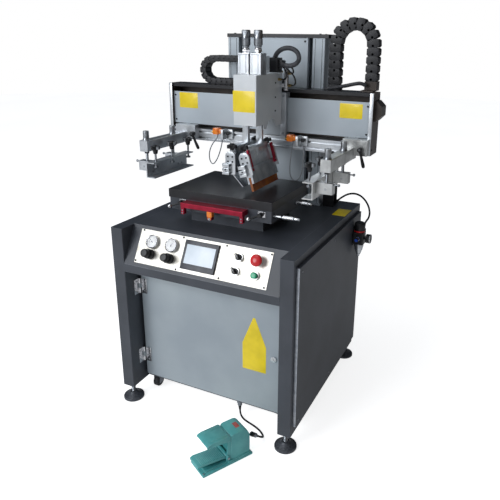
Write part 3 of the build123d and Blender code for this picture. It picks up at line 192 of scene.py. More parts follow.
pedal_route = (
    (105, -248, 46), (105, -248, 26), (113, -258, 9), (134, -272, 5), (160, -280, 4.5),
    (190, -289, 4.5), (219, -302, 4.5), (243, -324, 6), (250, -349, 22), (236.5, -373, 45),
)
hose_route = (
    (275, 300, 738), (293, 303, 755), (318, 309, 771), (346, 317, 775), (371, 326, 764), (391, 334, 741),
    (403, 339, 715), (409, 334, 692), (410, 317, 677), (407, 297, 671), (404, 281, 662), (404, 281, 640),
)
for name, node, route, thick, length, finish in (
    ("foot_pedal_cable", "pedal_cable", pedal_route, 7, 0.2518, pvc_sheath),
    ("compressed_air_hose", "air_hose", hose_route, 8, 0.2779, air_tube),
):
    cord = tube(name, route, thick, "cabinet", finish)
    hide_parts(node)

# ---- Studio ----
# A white seamless floor, one large soft light high in front on the left and a weaker one above. The room
# beyond is bright in front, dim behind and warm brown to the right, so metal and glossy paint have something
# to mirror.
bpy.context.scene.view_settings.view_transform = "Standard"
sweep = bmesh.new()
bmesh.ops.create_circle(sweep, cap_ends=True, segments=96, radius=14)
floor_sheet = bpy.data.meshes.new("studio_floor")
sweep.to_mesh(floor_sheet)
sweep.free()
floor = bpy.data.objects.new("studio_floor", floor_sheet)
floor.location = (0, 0, -0.001)
bpy.context.scene.collection.objects.link(floor)
# Matt paper, lit from behind as well, so it is near white, with a very faint unevenness.
paper = surface("matt_backdrop_paper", "ffffff", 0.95, 0, ("f4f4f4", "ffffff", 900),
                Emission_Color=linear("ffffff"))
tree = paper.node_tree
seen = add(tree, "LightPath")
glow = add(tree, "MapRange", {"Value": seen.outputs["Is Camera Ray"], "To Min": 0.12, "To Max": 0.8})
tree.links.new(glow.outputs[0], tree.nodes["Principled BSDF"].inputs["Emission Strength"])
floor.data.materials.append(paper)


def softbox(name, place, aim, size, watts, tint):
    """A square soft light, in metres, turned towards a point."""
    lamp = bpy.data.lights.new(name, "AREA")
    lamp.size = size
    lamp.energy = watts
    lamp.color = linear(tint)[:3]
    made = bpy.data.objects.new(name, lamp)
    made.location = place
    made.rotation_euler = (Vector(aim) - Vector(place)).to_track_quat("-Z", "Y").to_euler()
    bpy.context.scene.collection.objects.link(made)


softbox("front_softbox", (-1.7, -3.6, 2.4), (0, 0, 0.7), 2.2, 84, "f8fbff")
softbox("ceiling_softbox", (-0.9, -0.6, 3.9), (0, 0, 0.8), 2.0, 20, "ffffff")
world = bpy.data.worlds.new("workshop_air")
bpy.context.scene.world = world
world.use_nodes = True
tree = world.node_tree
seen = add(tree, "LightPath")
where = add(tree, "TexCoord")
split = add(tree, "SeparateXYZ", {0: where.outputs["Generated"]})
to_front = add(tree, "MapRange", {"Value": split.outputs["Y"], "From Min": 0.35, "From Max": -0.5})
to_right = add(tree, "MapRange", {"Value": split.outputs["X"], "From Min": 0.25, "From Max": 0.9})
depth = add(tree, "Mix", {"Factor": to_front.outputs[0], 6: linear("5d6670"), 7: linear("e9eef4")},
            data_type="RGBA")
room = add(tree, "Mix", {"Factor": to_right.outputs[0], 6: depth.outputs[2], 7: linear("6e6358")},
           data_type="RGBA")
fill = add(tree, "Background", {"Color": room.outputs[2], "Strength": 0.5})
backdrop = add(tree, "Background", {"Color": linear("ffffff"), "Strength": 1.0})
both = add(tree, "MixShader", {0: seen.outputs["Is Camera Ray"], 1: fill.outputs[0], 2: backdrop.outputs[0]})
tree.links.new(both.outputs[0], tree.nodes["World Output"].inputs["Surface"])

# ---- Cabinet frame, top and panels ----
# Folded and welded sheet steel on two box legs, sprayed with slate polyester powder and baked. The top folds
# down into the sloped console, and each side has a screwed-on panel standing proud of its leg.


def edge_wear(material, rubbed, radius_mm, amount):
    """Handling wears the coat thin along outside edges: where a rounded normal leaves the face's own."""
    tree = material.node_tree
    base = tree.nodes["Principled BSDF"].inputs["Base Color"]
    colour = base.links[0].from_socket
    rounded = add(tree, "Bevel", {"Radius": radius_mm / 1000}, samples=4)
    face = add(tree, "NewGeometry")
    agree = add(tree, "VectorMath", {0: rounded.outputs[0], 1: face.outputs["Normal"]},
                operation="DOT_PRODUCT")
    place = add(tree, "TexCoord")
    patches = add(tree, "TexNoise", {"Vector": place.outputs["Object"], "Scale": 45, "Detail": 5})
    gone = add(tree, "MapRange", {"Value": agree.outputs["Value"], "From Min": 0.93, "From Max": 0.995,
                                  "To Min": amount, "To Max": 0.0})
    here = add(tree, "Math", {0: gone.outputs[0], 1: patches.outputs["Fac"]}, operation="MULTIPLY")
    coat = add(tree, "Mix", {"Factor": here.outputs[0], 6: colour, 7: linear(rubbed)}, data_type="RGBA")
    tree.links.new(coat.outputs[2], base)


# Orange peel of a sprayed and baked powder: cells of 2 to 3 mm drawn at 6 so that they show, and so drawn
# deeper.
orange_peel = (6, 0.35, 0.35)
# Slate powder coat: dark blue grey, satin, cloudy over a hand's width, paler on rubbed edges.
slate_powder = surface("slate_polyester_powder_coat", "4a4f58", 0.42, 0, ("3c4047", "474b53", 160),
                       orange_peel)
edge_wear(slate_powder, "8d929b", 2.5, 0.55)
# Silver-grey powder coat of the covers and door: pale blue grey with a little aluminium flake in it.
silver_powder = surface("silver_grey_powder_coat", "b4bdc4", 0.38, 0.12, ("aeb8c0", "bac3ca", 220),
                        orange_peel)
edge_wear(silver_powder, "dfe4e8", 1.5, 0.5)


def wears(finish, *names):
    """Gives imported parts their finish."""
    for name in names:
        for place in frame["nodes"][name].material_slots:
            place.material = finish


wears(slate_powder, "cabinet_frame", "cabinet_top", "cabinet_panels")
wears(silver_powder, "tower_body", "beam_front_cover")


def skin(mesh, rings):
    """Joins rings of equally many points into one closed solid."""
    rows = [[mesh.verts.new(point) for point in ring] for ring in rings]
    for low, high in zip(rows, rows[1:]):
        for i, vertex in enumerate(low):
            mesh.faces.new((low[i - 1], vertex, high[i], high[i - 1]))
    mesh.faces.new(rows[0])
    mesh.faces.new(rows[-1])
    return rows


def slab(mesh, x, y, z, edge=0.6, place=Matrix()):
    """A block between two values on each axis, with every edge broken."""
    made = bmesh.ops.create_cube(mesh, size=1)["verts"]
    for vertex in made:
        vertex.co = place @ Vector([sum(side) / 2 + c * abs(side[1] - side[0]) for c,
                                    side in zip(vertex.co, (x, y, z))])
    edges = list({e for vertex in made for e in vertex.link_edges})
    bmesh.ops.bevel(mesh, geom=edges, offset=edge, segments=2, profile=0.6, affect="EDGES")


def turned(mesh, place, profile, sides=40):
    """Lathe work about a place's own Z: (radius, height) steps, with a third value for depth of knurling."""
    rings = []
    for radius, height, *knurl in profile:
        cut = knurl[0] if knurl else 0
        rings.append([
            place @ Vector((
                (radius - cut * (i % 2)) * math.cos(math.tau * i / sides),
                (radius - cut * (i % 2)) * math.sin(math.tau * i / sides), height,
            )) for i in range(sides)
        ])
    skin(mesh, rings)


def pressed(mesh, place, outline, thick, edge=0.0):
    """A flat outline in a place's XY, given thickness along its Z, with the two rims broken."""
    rows = skin(mesh, [[place @ Vector((x, y, h)) for x, y in outline] for h in (0, thick)])
    if edge:
        rims = [mesh.edges.get((row[i - 1], row[i])) for row in rows for i in range(len(row))]
        bmesh.ops.bevel(mesh, geom=rims, offset=edge, segments=2, profile=0.6, affect="EDGES")


def piece(name, mesh, body, finish, sharp=32, shows=None):
    """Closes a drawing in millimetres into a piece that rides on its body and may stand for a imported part."""
    bmesh.ops.recalc_face_normals(mesh, faces=mesh.faces)
    mesh.transform(Matrix.Translation(home) @ Matrix.Scale(0.001, 4))
    data = bpy.data.meshes.new(name)
    mesh.to_mesh(data)
    mesh.free()
    data.shade_smooth()
    data.set_sharp_from_angle(angle=math.radians(sharp))
    data.materials.append(finish)
    made = bpy.data.objects.new(name, data)
    bpy.context.scene.collection.objects.link(made)
    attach(made, body)
    if shows:
        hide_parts(shows)
    return made


def shift(x, y, z):
    """A place moved by these millimetres, still upright."""
    return Matrix.Translation((x, y, z))


right, back, upward = Vector((1, 0, 0)), Vector((0, 1, 0)), Vector((0, 0, 1))
left, front = Vector((-1, 0, 0)), Vector((0, -1, 0))


def facing(point, normal, spin=0.0):
    """A place on a surface: its own Z is the surface's normal."""
    return Matrix.Translation(point) @ Vector(normal).to_track_quat("Z", "Y").to_matrix().to_4x4() \
        @ Matrix.Rotation(math.radians(spin), 4, "Z")


def cap_screw(mesh, place, radius=3.2, tall=2.4):
    """A socket cap screw's head: a broken rim and a sunk hexagon."""
    turned(mesh, place, (
        (radius, 0), (radius, tall - 0.5), (radius - 0.5, tall), (radius * 0.55, tall),
        (radius * 0.5, tall - 1.3),
    ), 12)


# Painted highlight: a narrow pale metallic strip down each side panel's front edge, for the light that edge
# reflects.
edge_highlight_strip = bmesh.new()
slab(edge_highlight_strip, (361, 371.5), (-338.6, -337.6), (101, 694), 0.3)
slab(edge_highlight_strip, (-371.5, -361), (-338.6, -337.6), (101, 694), 0.3)
# The strip's pale metallic colour is a painted highlight, not bare metal.
edge_highlight_paint = surface("painted_edge_highlight", "b9bec6", 0.42, 0.6, ("a7adb6", "c6cad0", 14))
piece("side_panel_front_edge_highlights", edge_highlight_strip, "cabinet", edge_highlight_paint)
# Panel screws: zinc-plated pan heads down each rear edge and along the rear sheet.
zinc = surface("zinc_plated_screw", "a9adb3", 0.3, 1.0, ("9a9ea4", "bcc0c5", 4))
panel_screws = bmesh.new()
for side in (-1, 1):
    for y in (-318, 0, 318):
        for z in (118, 677):
            cap_screw(panel_screws, facing((side * 372, y, z), (side, 0, 0)), 3.4, 2)
for x in (-290, 0, 290):
    for z in (90, 400, 705):
        cap_screw(panel_screws, facing((x, 356, z), back), 3.4, 2)
piece("cabinet_panel_screws", panel_screws, "cabinet", zinc)
# A plain yellow vinyl notice on the cabinet's top, blank, with rounded corners.
yellow_vinyl = surface("yellow_vinyl_sticker", "f2d800", 0.34, 0, ("ecd000", "ffe21a", 60), Coat_Weight=0.3)


def sticker(name, place, wide, high, body, corner=3.0, outline=None):
    """A blank adhesive notice 0.2 mm thick, with its two rims broken."""
    made = bmesh.new()
    if outline is None:
        outline = []
        for cx, cy, start in ((1, 1, 0), (-1, 1, 90), (-1, -1, 180), (1, -1, 270)):
            for step in (0, 30, 60, 90):
                turn = math.radians(start + step)
                outline.append((cx * (wide / 2 - corner) + corner * math.cos(turn),
                                cy * (high / 2 - corner) + corner * math.sin(turn)))
    pressed(made, place, outline, 0.35, 0.1)
    return piece(name, made, body, yellow_vinyl)


sticker("cabinet_top_sticker", facing((330, 197, 723), upward), 54, 92, "cabinet")

# ---- Console ----
# A brushed stainless plate screwed to the slope carries two pressure gauges, two regulators, the touch panel,
# two selectors and two push buttons. Each place on it is given by its distance along and down the slope.
down = Vector((0, -71, -133)).normalized()
out = Vector((0, down.z, -down.y))


def on_console(along, lower, proud=0.0, spin=0.0):
    """A place on the console: X to the right, Y up the slope and Z out of it."""
    up = -down
    turn = Matrix((Vector((1, 0, 0)), up, out)).transposed().to_4x4()
    return Matrix.Translation(Vector((along, -285, 723)) + down * lower + out * proud) @ turn \
        @ Matrix.Rotation(math.radians(spin), 4, "Z")


# Brushed stainless: warm, pale, with lines along the plate 0.1 mm apart drawn at 1.2, and dull patches from
# handling.
stainless = surface("brushed_stainless_sheet", "d9d6cd", 0.38, 0.62, ("cbc6ba", "e8e6df", 26, 0.3, 0.7, 8),
                    (1.2, 0.05, 0.5, 2, (0.02, 1, 1)))
wears(stainless, "control_plate")
# Bright nickel: a mirror a little yellow of chrome, softened by fine polishing marks.
nickel = surface("bright_nickel_plate", "d2d2d4", 0.16, 1.0, ("c6c6c9", "dddddf", 9), (5, 0.05, 0.25))
wears(nickel, "hinge_leaves", "door_lock")
# Black moulded plastic: satin, with the fine spark-eroded texture of its tool.
black_moulding = surface("moulded_black_plastic", "18181b", 0.36, 0, ("131316", "1e1e22", 12),
                         (1.5, 0.1, 0.4))
wears(black_moulding, "console_regulators", "touch_panel")

# Blackened steel: oxide over bare steel, satin.
black_oxide = surface("black_oxide_steel", "242427", 0.36, 0.7, ("1c1c1f", "303034", 3))
plate_screws = bmesh.new()
for along, lower in ((-257, 17), (-87, 18), (87, 19), (255, 20), (-263, 130), (-90, 132), (82, 131),
                     (252, 131)):
    cap_screw(plate_screws, on_console(along, lower, 2), 3.6, 1.8)
piece("console_plate_screws", plate_screws, "cabinet", black_oxide)
bezels = bmesh.new()
for along, lower in ((143, 50), (140, 98), (216, 50), (213, 99)):
    turned(bezels, on_console(along, lower, 2), (
        (15.4, 0), (15.4, 2.4), (14.8, 3.2), (13.6, 3.2), (13.6, 5.2), (13.2, 6.3), (12, 6.5), (9, 6.5),
        (8.6, 5.6),
    ))
piece("switch_bezels", bezels, "cabinet", nickel)

# Pressure gauges: a pressed chrome case with a rolled rim, white enamelled dial, black needle and a flat
# glass.
rims = bmesh.new()
dials = bmesh.new()
needles = bmesh.new()
glasses = bmesh.new()
for along, lower, reading in ((-206, 54, 50), (-124, 54, -20)):
    turned(rims, on_console(along, lower, 2), (
        (24.2, 0), (24.2, 8), (25, 9), (25, 11.5), (24.4, 13), (23, 13.6), (21.6, 13.2), (21, 12), (21, 10.6),
    ), 48)
    turned(dials, on_console(along, lower, 12.2), ((20.8, 0), (20.8, 0.8)), 48)
    for step in range(19):
        turn = math.radians(225 - 15 * step)
        tall = 4.2 if step % 3 == 0 else 2.4
        tick = on_console(along, lower, 13.1) @ shift(17 * math.cos(turn), 17 * math.sin(turn), 0) \
            @ Matrix.Rotation(turn, 4, "Z")
        slab(needles, (-tall / 2, tall / 2), (-0.35, 0.35), (0, 0.15), 0.05, tick)
    hand = on_console(along, lower, 13.4, reading)
    pressed(needles, hand, ((-1.3, -6), (1.3, -6), (1.1, 0), (0.4, 15.5), (-0.4, 15.5), (-1.1, 0)), 0.4)
    turned(needles, on_console(along, lower, 13.1), ((2.6, 0), (2.6, 0.9), (2, 1.2)), 20)
    turned(glasses, on_console(along, lower, 14.4), ((21.3, 0), (21.3, 0.5), (20.8, 0.9)), 48)
piece("gauge_rims", rims, "cabinet", nickel)
enamel = surface("white_enamelled_dial", "f2f3f4", 0.3, 0, ("eceef0", "f8f8f8", 30))
piece("gauge_dials", dials, "cabinet", enamel)
dial_ink = surface("black_dial_ink", "1c1c1f", 0.5, 0, ("19191b", "232326", 8))
piece("gauge_needles_and_marks", needles, "cabinet", dial_ink)
clear_glass = surface("clear_gauge_glass", "ffffff", 0.03, 0, None, (20, 0.02, 0.1), Transmission_Weight=1.0,
                      IOR=1.45)
piece("gauge_glasses", glasses, "cabinet", clear_glass)

# Regulators: a black ribbed knob on a threaded collar; the knob pulls out to turn. Ribs give the thumb its
# grip.
collars = bmesh.new()
for name, body, along, lower in (
    ("regulator_knob_left", "regulator_left", -206, 99),
    ("regulator_knob_right", "regulator_right", -123, 101),
):
    turned(collars, on_console(along, lower, 2), (
        (17.4, 0), (17.4, 5), (16.4, 6), (16.4, 9), (17.8, 10), (17.8, 21), (17, 22.4), (12, 22.4),
    ), 48)
    ribbed = bmesh.new()
    turned(ribbed, on_console(along, lower), (
        (6, 23), (14, 24.6), (14.6, 25.6, 0.9), (14.6, 43.5, 0.9), (13.4, 45.6, 0.4), (12, 46.4), (9, 46.4),
        (8.6, 45.6),
    ), 56)
    turned(ribbed, on_console(along, lower), ((5, 10), (5, 24)), 20)
    piece(name + "_ribbed", ribbed, body, black_moulding, 40, shows=name)
piece("regulator_collars", collars, "cabinet", black_moulding, shows="console_regulators")

# Touch panel: dark grey bezel with a sunk frame, and a backlit liquid-crystal screen behind anti-glare film.
dark_bezel = surface("moulded_dark_grey_bezel", "3c3e45", 0.4, 0, ("33353c", "484a52", 40))
frame_ring = bmesh.new()
for x, y in (((-72, 62), (22.5, 38)), ((-72, 62), (105, 125.5)), ((-72, -62), (38, 105)),
             ((53, 62), (38, 105))):
    slab(frame_ring, x, (-y[1], -y[0]), (6.5, 9.6), 0.8, on_console(0, 0))
piece("touch_panel_frame", frame_ring, "cabinet", dark_bezel)
screen = bmesh.new()
slab(screen, (-62.3, 53.3), (-105.3, -37.7), (8.2, 9.1), 0.2, on_console(0, 0))
lit_screen = surface("anti_glare_lcd_screen", "c4cdd6", 0.28, 0, ("b9c4cf", "d3dbe2", 90),
                     Emission_Strength=0.28, Emission_Color=linear("dfe9f4"))
piece("touch_panel_screen", screen, "cabinet", lit_screen)

# Selectors: black levers on a round skirt, with a white pointer line let into the lever.
pointer_paint = surface("white_pointer_inlay", "eeeeee", 0.45, 0, ("e6e6e6", "f4f4f4", 5))
for name, body, along, lower in (
    ("selector_knob_upper", "selector_upper", 143, 50), ("selector_knob_lower", "selector_lower", 140, 98)
):
    turner = bmesh.new()
    turned(turner, on_console(along, lower), ((8, -10), (8, 8.6), (11.2, 8.9), (11.2, 13.6), (10.2, 14.6)),
           40)
    grip = on_console(along, lower, 14, 40)
    pressed(turner, grip, (
        (-3.4, -11), (3.4, -11), (3.9, -4), (3.9, 4), (3.2, 11.4), (1.4, 12.8), (-1.4, 12.8), (-3.2, 11.4),
        (-3.9, 4), (-3.9, -4),
    ), 13.5, 1.1)
    piece(name + "_lever", turner, body, black_moulding, 40, shows=name)
    mark = bmesh.new()
    slab(mark, (-0.7, 0.7), (1, 11), (13.3, 13.7), 0.1, grip)
    piece(name + "_pointer", mark, body, pointer_paint)

# Emergency stop: a glossy red mushroom on a black stem. Start button: a flush green disc in its chrome ring.
red_cap = surface("glossy_red_moulding", "d81f26", 0.22, 0, ("cc1b22", "e2262c", 25), Coat_Weight=0.3)
green_cap = surface("glossy_green_moulding", "17a072", 0.26, 0, ("139468", "1cac7c", 12), Coat_Weight=0.2)
mushroom = bmesh.new()
turned(mushroom, on_console(216, 50), (
    (12.5, 22.5), (19.2, 23.5), (20.2, 25), (20.2, 29.5), (19.6, 32), (17.8, 34.6), (14, 37), (8, 38.6),
    (2, 39.2),
), 56)
piece("emergency_stop_mushroom", mushroom, "estop", red_cap, 45, shows="estop_button")
stem = bmesh.new()
turned(stem, on_console(216, 50), ((8, -10), (8, 14), (10.5, 14.6), (12, 17), (12.4, 24), (11, 24.5)), 40)
piece("emergency_stop_stem", stem, "estop", black_moulding)
flush = bmesh.new()
turned(flush, on_console(213, 99), ((8, -10), (8, 12.6), (11, 12.7), (11.2, 13.4), (11.2, 18.2), (10.4, 19.4),
                                    (8, 20), (2, 20.2)), 48)
piece("start_button_disc", flush, "start", green_cap, 45, shows="start_button")

# ---- Door ----
# A folded steel door, hung on two nickel butt hinges on the left and held by a cam lock on the right, with a
# blank yellow notice near the lock.
door_powder = surface("pale_grey_powder_coat", "a6b0b7", 0.36, 0.08, ("9fa9b1", "b0babf", 260), orange_peel)
edge_wear(door_powder, "d5dade", 1.5, 0.5)
wears(door_powder, "door")
leaves = bmesh.new()
hinge_screws = bmesh.new()
frame_screws = bmesh.new()
for z in (179, 475):
    slab(leaves, (-297, -274), (-283.8, -282.8), (z - 30.5, z + 30.5), 0.3)
    for dz in (-21, 0, 21):
        cap_screw(hinge_screws, facing((-284.5, -283.8, z + dz), front), 3, 1.2)
    for dz in (-21, 21):
        cap_screw(frame_screws, facing((-307.5, -301, z + dz), right), 3, 1.2)
piece("hinge_door_leaves", leaves, "door", nickel)
piece("hinge_door_screws", hinge_screws, "door", zinc)
piece("hinge_frame_screws", frame_screws, "cabinet", zinc)
sticker("door_sticker", facing((182, -280, 342), front), 0, 0, "door", outline=(
    (-46, -105), (46, -105), (47, -103), (47, 0), (4, 107), (-4, 107), (-47, 0), (-47, -103),
))

# ---- Levelling feet and casters ----
# Each foot is a rubber-faced cast pad on a threaded steel stem with a lock nut under the leg. The casters
# behind them have grey polyurethane tyres in pressed steel forks.
foot_casting = surface("hammered_dark_grey_casting", "4b4e54", 0.42, 0.35, ("3d4046", "5e6168", 7, 0.3, 0.7),
                       (7, 0.5, 0.6, 3))
turned_steel = surface("turned_steel", "9da1a6", 0.3, 1.0, ("8d9196", "b2b6bb", 10),
                       (1.5, 0.06, 0.5, 2, (1, 1, 0.05)))
pads = bmesh.new()
stems = bmesh.new()
for x in (-333, 333):
    for y in (-331, 331):
        foot = shift(x, y, 0)
        turned(pads, foot, (
            (38.5, 0), (40, 1.5), (40, 8), (38.8, 10.5), (36.5, 11.6), (35.5, 11), (33, 12), (24, 17),
            (17, 21.5),
            (15, 25), (13.5, 26), (9, 26),
        ), 64)
        thread = [(8 if i % 2 else 7.1, 26 + 1.5 * i) for i in range(17)]
        turned(stems, foot, [(7.2, 24), *thread, (7.8, 52), (7.8, 96)], 32)
        turned(stems, foot, ((12.5, 52), (14, 53), (14, 63), (12.5, 63.9)), 6)
piece("levelling_foot_pads", pads, "cabinet", foot_casting, shows="levelling_feet")
piece("levelling_foot_stems", stems, "cabinet", turned_steel)
forks_finish = surface("zinc_plated_pressing", "8f939a", 0.34, 0.9, ("7f838a", "a3a7ad", 14))
wears(forks_finish, "caster_forks", "cable_glands")
tyre = surface("grey_polyurethane_tyre", "2c2d30", 0.5, 0, ("26272a", "37383c", 16))
wears(tyre, "front_caster_wheels", "rear_caster_wheels")

# ---- Printing table ----
# A ground aluminium plate, hard-anodised black, on a sliding plate and pedestal painted slate. In front it
# has a crimson-anodised stop bar with an optical sensor, and two ball handles that lock it.
hard_anodised = surface("black_hard_anodised_plate", "1d1d20", 0.34, 0.2, ("19191c", "232327", 90),
                        (1.5, 0.04, 0.3))
edge_wear(hard_anodised, "5a5a60", 1.2, 0.5)
wears(hard_anodised, "table_top", "beam_top_plate", "tower_cap")
wears(slate_powder, "table_slide_plate", "table_base")
# Crimson anodising: a clear dyed film on aluminium, so it glows a little in the light and darkens in the
# folds.
crimson_anodised = surface("crimson_anodised_aluminium", "9c1330", 0.34, 0.55, ("8c0f2a", "ab1a38", 45),
                           (1.4, 0.05, 0.4, 2, (0.03, 1, 1)))
wears(crimson_anodised, "table_front_bar")
# Orange sensor housing: translucent polycarbonate, glossy.
sensor_orange = surface("orange_polycarbonate_housing", "ff7f0e", 0.25, 0, ("f57404", "ff9124", 12),
                        Coat_Weight=0.4)
sensor_body = bmesh.new()
slab(sensor_body, (-27, -7), (-239.6, -220.4), (776, 796.6), 2)
slab(sensor_body, (-25, -9), (-239.2, -221), (765.6, 777), 2.5)
piece("stop_bar_sensor", sensor_body, "table_slide", sensor_orange)
# Clear anodising: pale, soft-edged reflections, with fine extrusion lines along the length.
anodised = surface("clear_anodised_aluminium", "ccd0d4", 0.34, 0.85, ("bfc3c8", "d8dbde", 60),
                   (1.4, 0.05, 0.4, 2, (0.05, 1, 1)))
bar_fixings = bmesh.new()
for x in (-128, 110):
    for z in (778, 788):
        cap_screw(bar_fixings, facing((x, -239.2, z), front), 2.8, 1.4)
turned(bar_fixings, facing((-17, -239.4, 770), front), ((4.5, 0), (4.5, 0.8), (3, 1), (2, 0.4)), 24)
piece("stop_bar_fixings", bar_fixings, "table_slide", zinc)
handle_spots = ("left", -151, 806), ("right", 170, 804)
plates = bmesh.new()
for side, x, z in handle_spots:
    slab(plates, (x - 14, x + 14), (-202.6, -201), (z - 10, z + 10), 0.5)
    for dx in (-11, 11):
        cap_screw(plates, facing((x + dx, -202.6, z + 6), front), 1.8, 0.8)
piece("handle_plates", plates, "table_slide", nickel)
for side, x, z in handle_spots:
    root = Vector((x, -215, z))
    tip = root + Vector((-36, -16, -14))
    grip = bmesh.new()
    turned(grip, facing((x, -201, z), front), ((4, -10), (4, 1), (8, 1.6), (8.4, 3), (8.4, 20), (7.4, 22)),
           32)
    turned(grip, facing(root, tip - root), ((3.2, 0), (3.6, 10), (3.2, 30), (3, 38)), 24)
    piece(f"table_handle_{side}_lever", grip, f"handle_{side}", black_moulding,
          shows=f"table_handle_{side}")
    ball = bmesh.new()
    turned(ball, facing(tip, tip - root), [
        (max(0.4, 9 * math.sin(math.pi * i / 14)), -9 * math.cos(math.pi * i / 14)) for i in range(15)
    ], 32)
    piece(f"table_handle_{side}_ball", ball, f"handle_{side}", nickel, 60)

# Micrometer adjuster: satin chrome sleeve with engraved lines and a knurled thimble, its ratchet at the end.
# A second one behind it on the same side sets the table's angle.
satin_chrome = surface("satin_chrome_micrometer", "c9ccd0", 0.24, 1.0, ("babdc2", "dadde0", 20))
for name, body, y, reach in (("table_micrometer", "adjuster", -178, 92),
                             ("table_angle_micrometer", "table_slide", 10, 62)):
    thimble = bmesh.new()
    lines = [(5.6 if i % 3 else 5.35, 8 + i) for i in range(18)]
    share = reach / 92
    turned(thimble, facing((207, y, 797), right), [
        (3.9, -10), (3.9, 1), (8.6, 1.2), (8.6, 5.5), (6, 6.5), *lines, (5.6, 27), (7.6, 31),
        (8, 33 * share + 4),
        (8, 36 * share + 4, 0.5), (8, 72 * share, 0.5), (7.6, 73 * share), (5.4, 76 * share),
        (5.8, 78 * share, 0.4),
        (5.8, 90 * share, 0.4), (5, reach),
    ], 48)
    piece(name, thimble, body, satin_chrome, 40,
          shows="table_adjuster" if body == "adjuster" else None)

# ---- Tower ----
# Two extruded columns with a pressed cover between them, all sprayed silver grey, under a black cap. The
# lift's guides and cylinder stand inside. A black channel beside it carries the cables.
chromed_bar = surface("hard_chromed_bar", "cfd2d6", 0.12, 1.0, ("c4c7cb", "dadde0", 30))
wears(chromed_bar, "lift_guides")
wears(anodised, "lift_cylinder")
column_middles = (-185, 186)
tower_screws = bmesh.new()
for x in (-132, 130):
    for z in (745, 1370):
        cap_screw(tower_screws, facing((x, 250, z), front), 4, 2)
for x in column_middles:
    for y in (265, 330):
        cap_screw(tower_screws, facing((x, y, 1397), upward), 4.5, 2.4)
for x in column_middles:
    for z in (760, 1060, 1350):
        cap_screw(tower_screws, facing((x, 345, z), back), 4, 2.4)
piece("tower_screws", tower_screws, "cabinet", black_oxide)
# Column grooves: each extruded column has a shallow groove down its face, drawn as a thin dark strip of painted
# shade.
groove_shade_strips = bmesh.new()
for x in (-199, -171, 172, 201):
    slab(groove_shade_strips, (x - 0.8, x + 0.8), (249.5, 250.2), (726, 1380), 0.1)
piece("tower_column_groove_shade", groove_shade_strips, "cabinet", black_oxide)
feet_plates = bmesh.new()
for x in column_middles:
    slab(feet_plates, (x - 34, x + 34), (240, 249.6), (723, 731), 1)
    for dx in (-26, 26):
        cap_screw(feet_plates, facing((x + dx, 245, 731), upward), 3, 2.4)
piece("tower_foot_plates", feet_plates, "cabinet", silver_powder)

# ---- Print beam ----
# A welded beam between two end plates, coloured dark brown, with a silver-grey front cover, a black top plate
# and an extruded aluminium rail that the screen arms slide along. Orange limit sensors hang from the rail.
dark_brown_plate = surface("dark_brown_beam_plate", "3b332e", 0.42, 0.25, ("332c28", "453c36", 70),
                         (2, 0.05, 0.3))
edge_wear(dark_brown_plate, "8a7f78", 1.0, 0.5)
wears(dark_brown_plate, "beam_frame", "belt_end_cover")
wears(anodised, "screen_rail")
end_strips = bmesh.new()
for x in (-440.6, 427.4):
    slab(end_strips, (x, x + 13.2), (149.6, 150.6), (969.6, 1196.4), 0.3)
piece("beam_end_plate_edges", end_strips, "beam", anodised)
beam_screws = bmesh.new()
for x in (-418, 418):
    for z in (1046, 1148):
        cap_screw(beam_screws, facing((x, 163, z), front), 3.6, 2)
for y, z in ((162, 990), (162, 1180), (228, 990), (228, 1180)):
    cap_screw(beam_screws, facing((441, y, z), right), 4, 2)
for x in (-400, -200, 0, 200, 400):
    cap_screw(beam_screws, facing((x, 165, 1197), upward), 3.2, 0.8)
piece("beam_screws", beam_screws, "beam", black_oxide)
sticker("beam_sticker_left", facing((-354, 163, 1128), front), 90, 63, "beam")
sticker("beam_sticker_right", facing((355, 163, 1128), front), 88, 54, "beam")

# Limit sensors on the rail: orange body, aluminium foot, a black locking screw and a grey lead looping back
# up.
grey_lead = surface("grey_pvc_lead", "8d9096", 0.42, 0, ("83868c", "989ba0", 20))
sensors = bmesh.new()
sensor_feet = bmesh.new()
sensor_knobs = bmesh.new()
brass = surface("nickelled_brass_fitting", "c2a76a", 0.24, 1.0, ("b39659", "d3bb82", 8))
lead_nuts = bmesh.new()
for x in (-185, 143):
    slab(sensors, (x - 22, x + 2), (108, 134), (1004, 1030), 2.5)
    slab(sensors, (x - 20, x + 16), (112, 132), (1008, 1026), 3)
    slab(sensor_feet, (x + 16, x + 26), (106, 149.5), (986, 1026), 1)
    slab(sensor_feet, (x + 24, x + 52), (140, 149.5), (986, 1024), 1)
    turned(sensor_knobs, facing((x + 38, 140, 1010), front), ((5, 0), (5, 8), (8, 8.5, 0.6), (8, 17, 0.6),
                                                              (7, 18)), 28)
    turned(lead_nuts, facing((x - 22, 121, 1012), left), ((7, 0), (7, 4), (5.5, 4.5), (5.5, 9), (4.5, 10)),
           18)
piece("rail_sensors", sensors, "beam", sensor_orange)
piece("rail_sensor_feet", sensor_feet, "beam", anodised)
piece("rail_sensor_knobs", sensor_knobs, "beam", black_moulding)
piece("rail_sensor_nuts", lead_nuts, "beam", brass)
for name, loop, thick in (
    ("left_sensor_lead", ((-187, 118, 1005), (-190, 116, 990), (-216, 115, 962), (-231, 115, 925),
                          (-228, 115, 890),
                          (-212, 115, 876), (-192, 116, 902), (-176, 118, 945), (-170, 124, 985),
                          (-168, 135, 1003)), 4.6),
    ("right_sensor_lead", ((146, 118, 1005), (143, 116, 985), (139, 115, 950), (134, 115, 905),
                           (136, 116, 868),
                           (152, 118, 848), (172, 122, 855), (182, 130, 890), (180, 142, 960),
                           (178, 150, 985)), 4),
):
    tube(name, loop, thick, "beam", grey_lead)

# Belt cover: the moulded cap over the belt pulley on the beam's right end, with its four screws.
cover_screws = bmesh.new()
for y in (180, 228):
    for z in (1122, 1140):
        cap_screw(cover_screws, facing((465.6, y, z), right), 2.6, 1.2)
piece("belt_cover_screws", cover_screws, "beam", black_oxide)

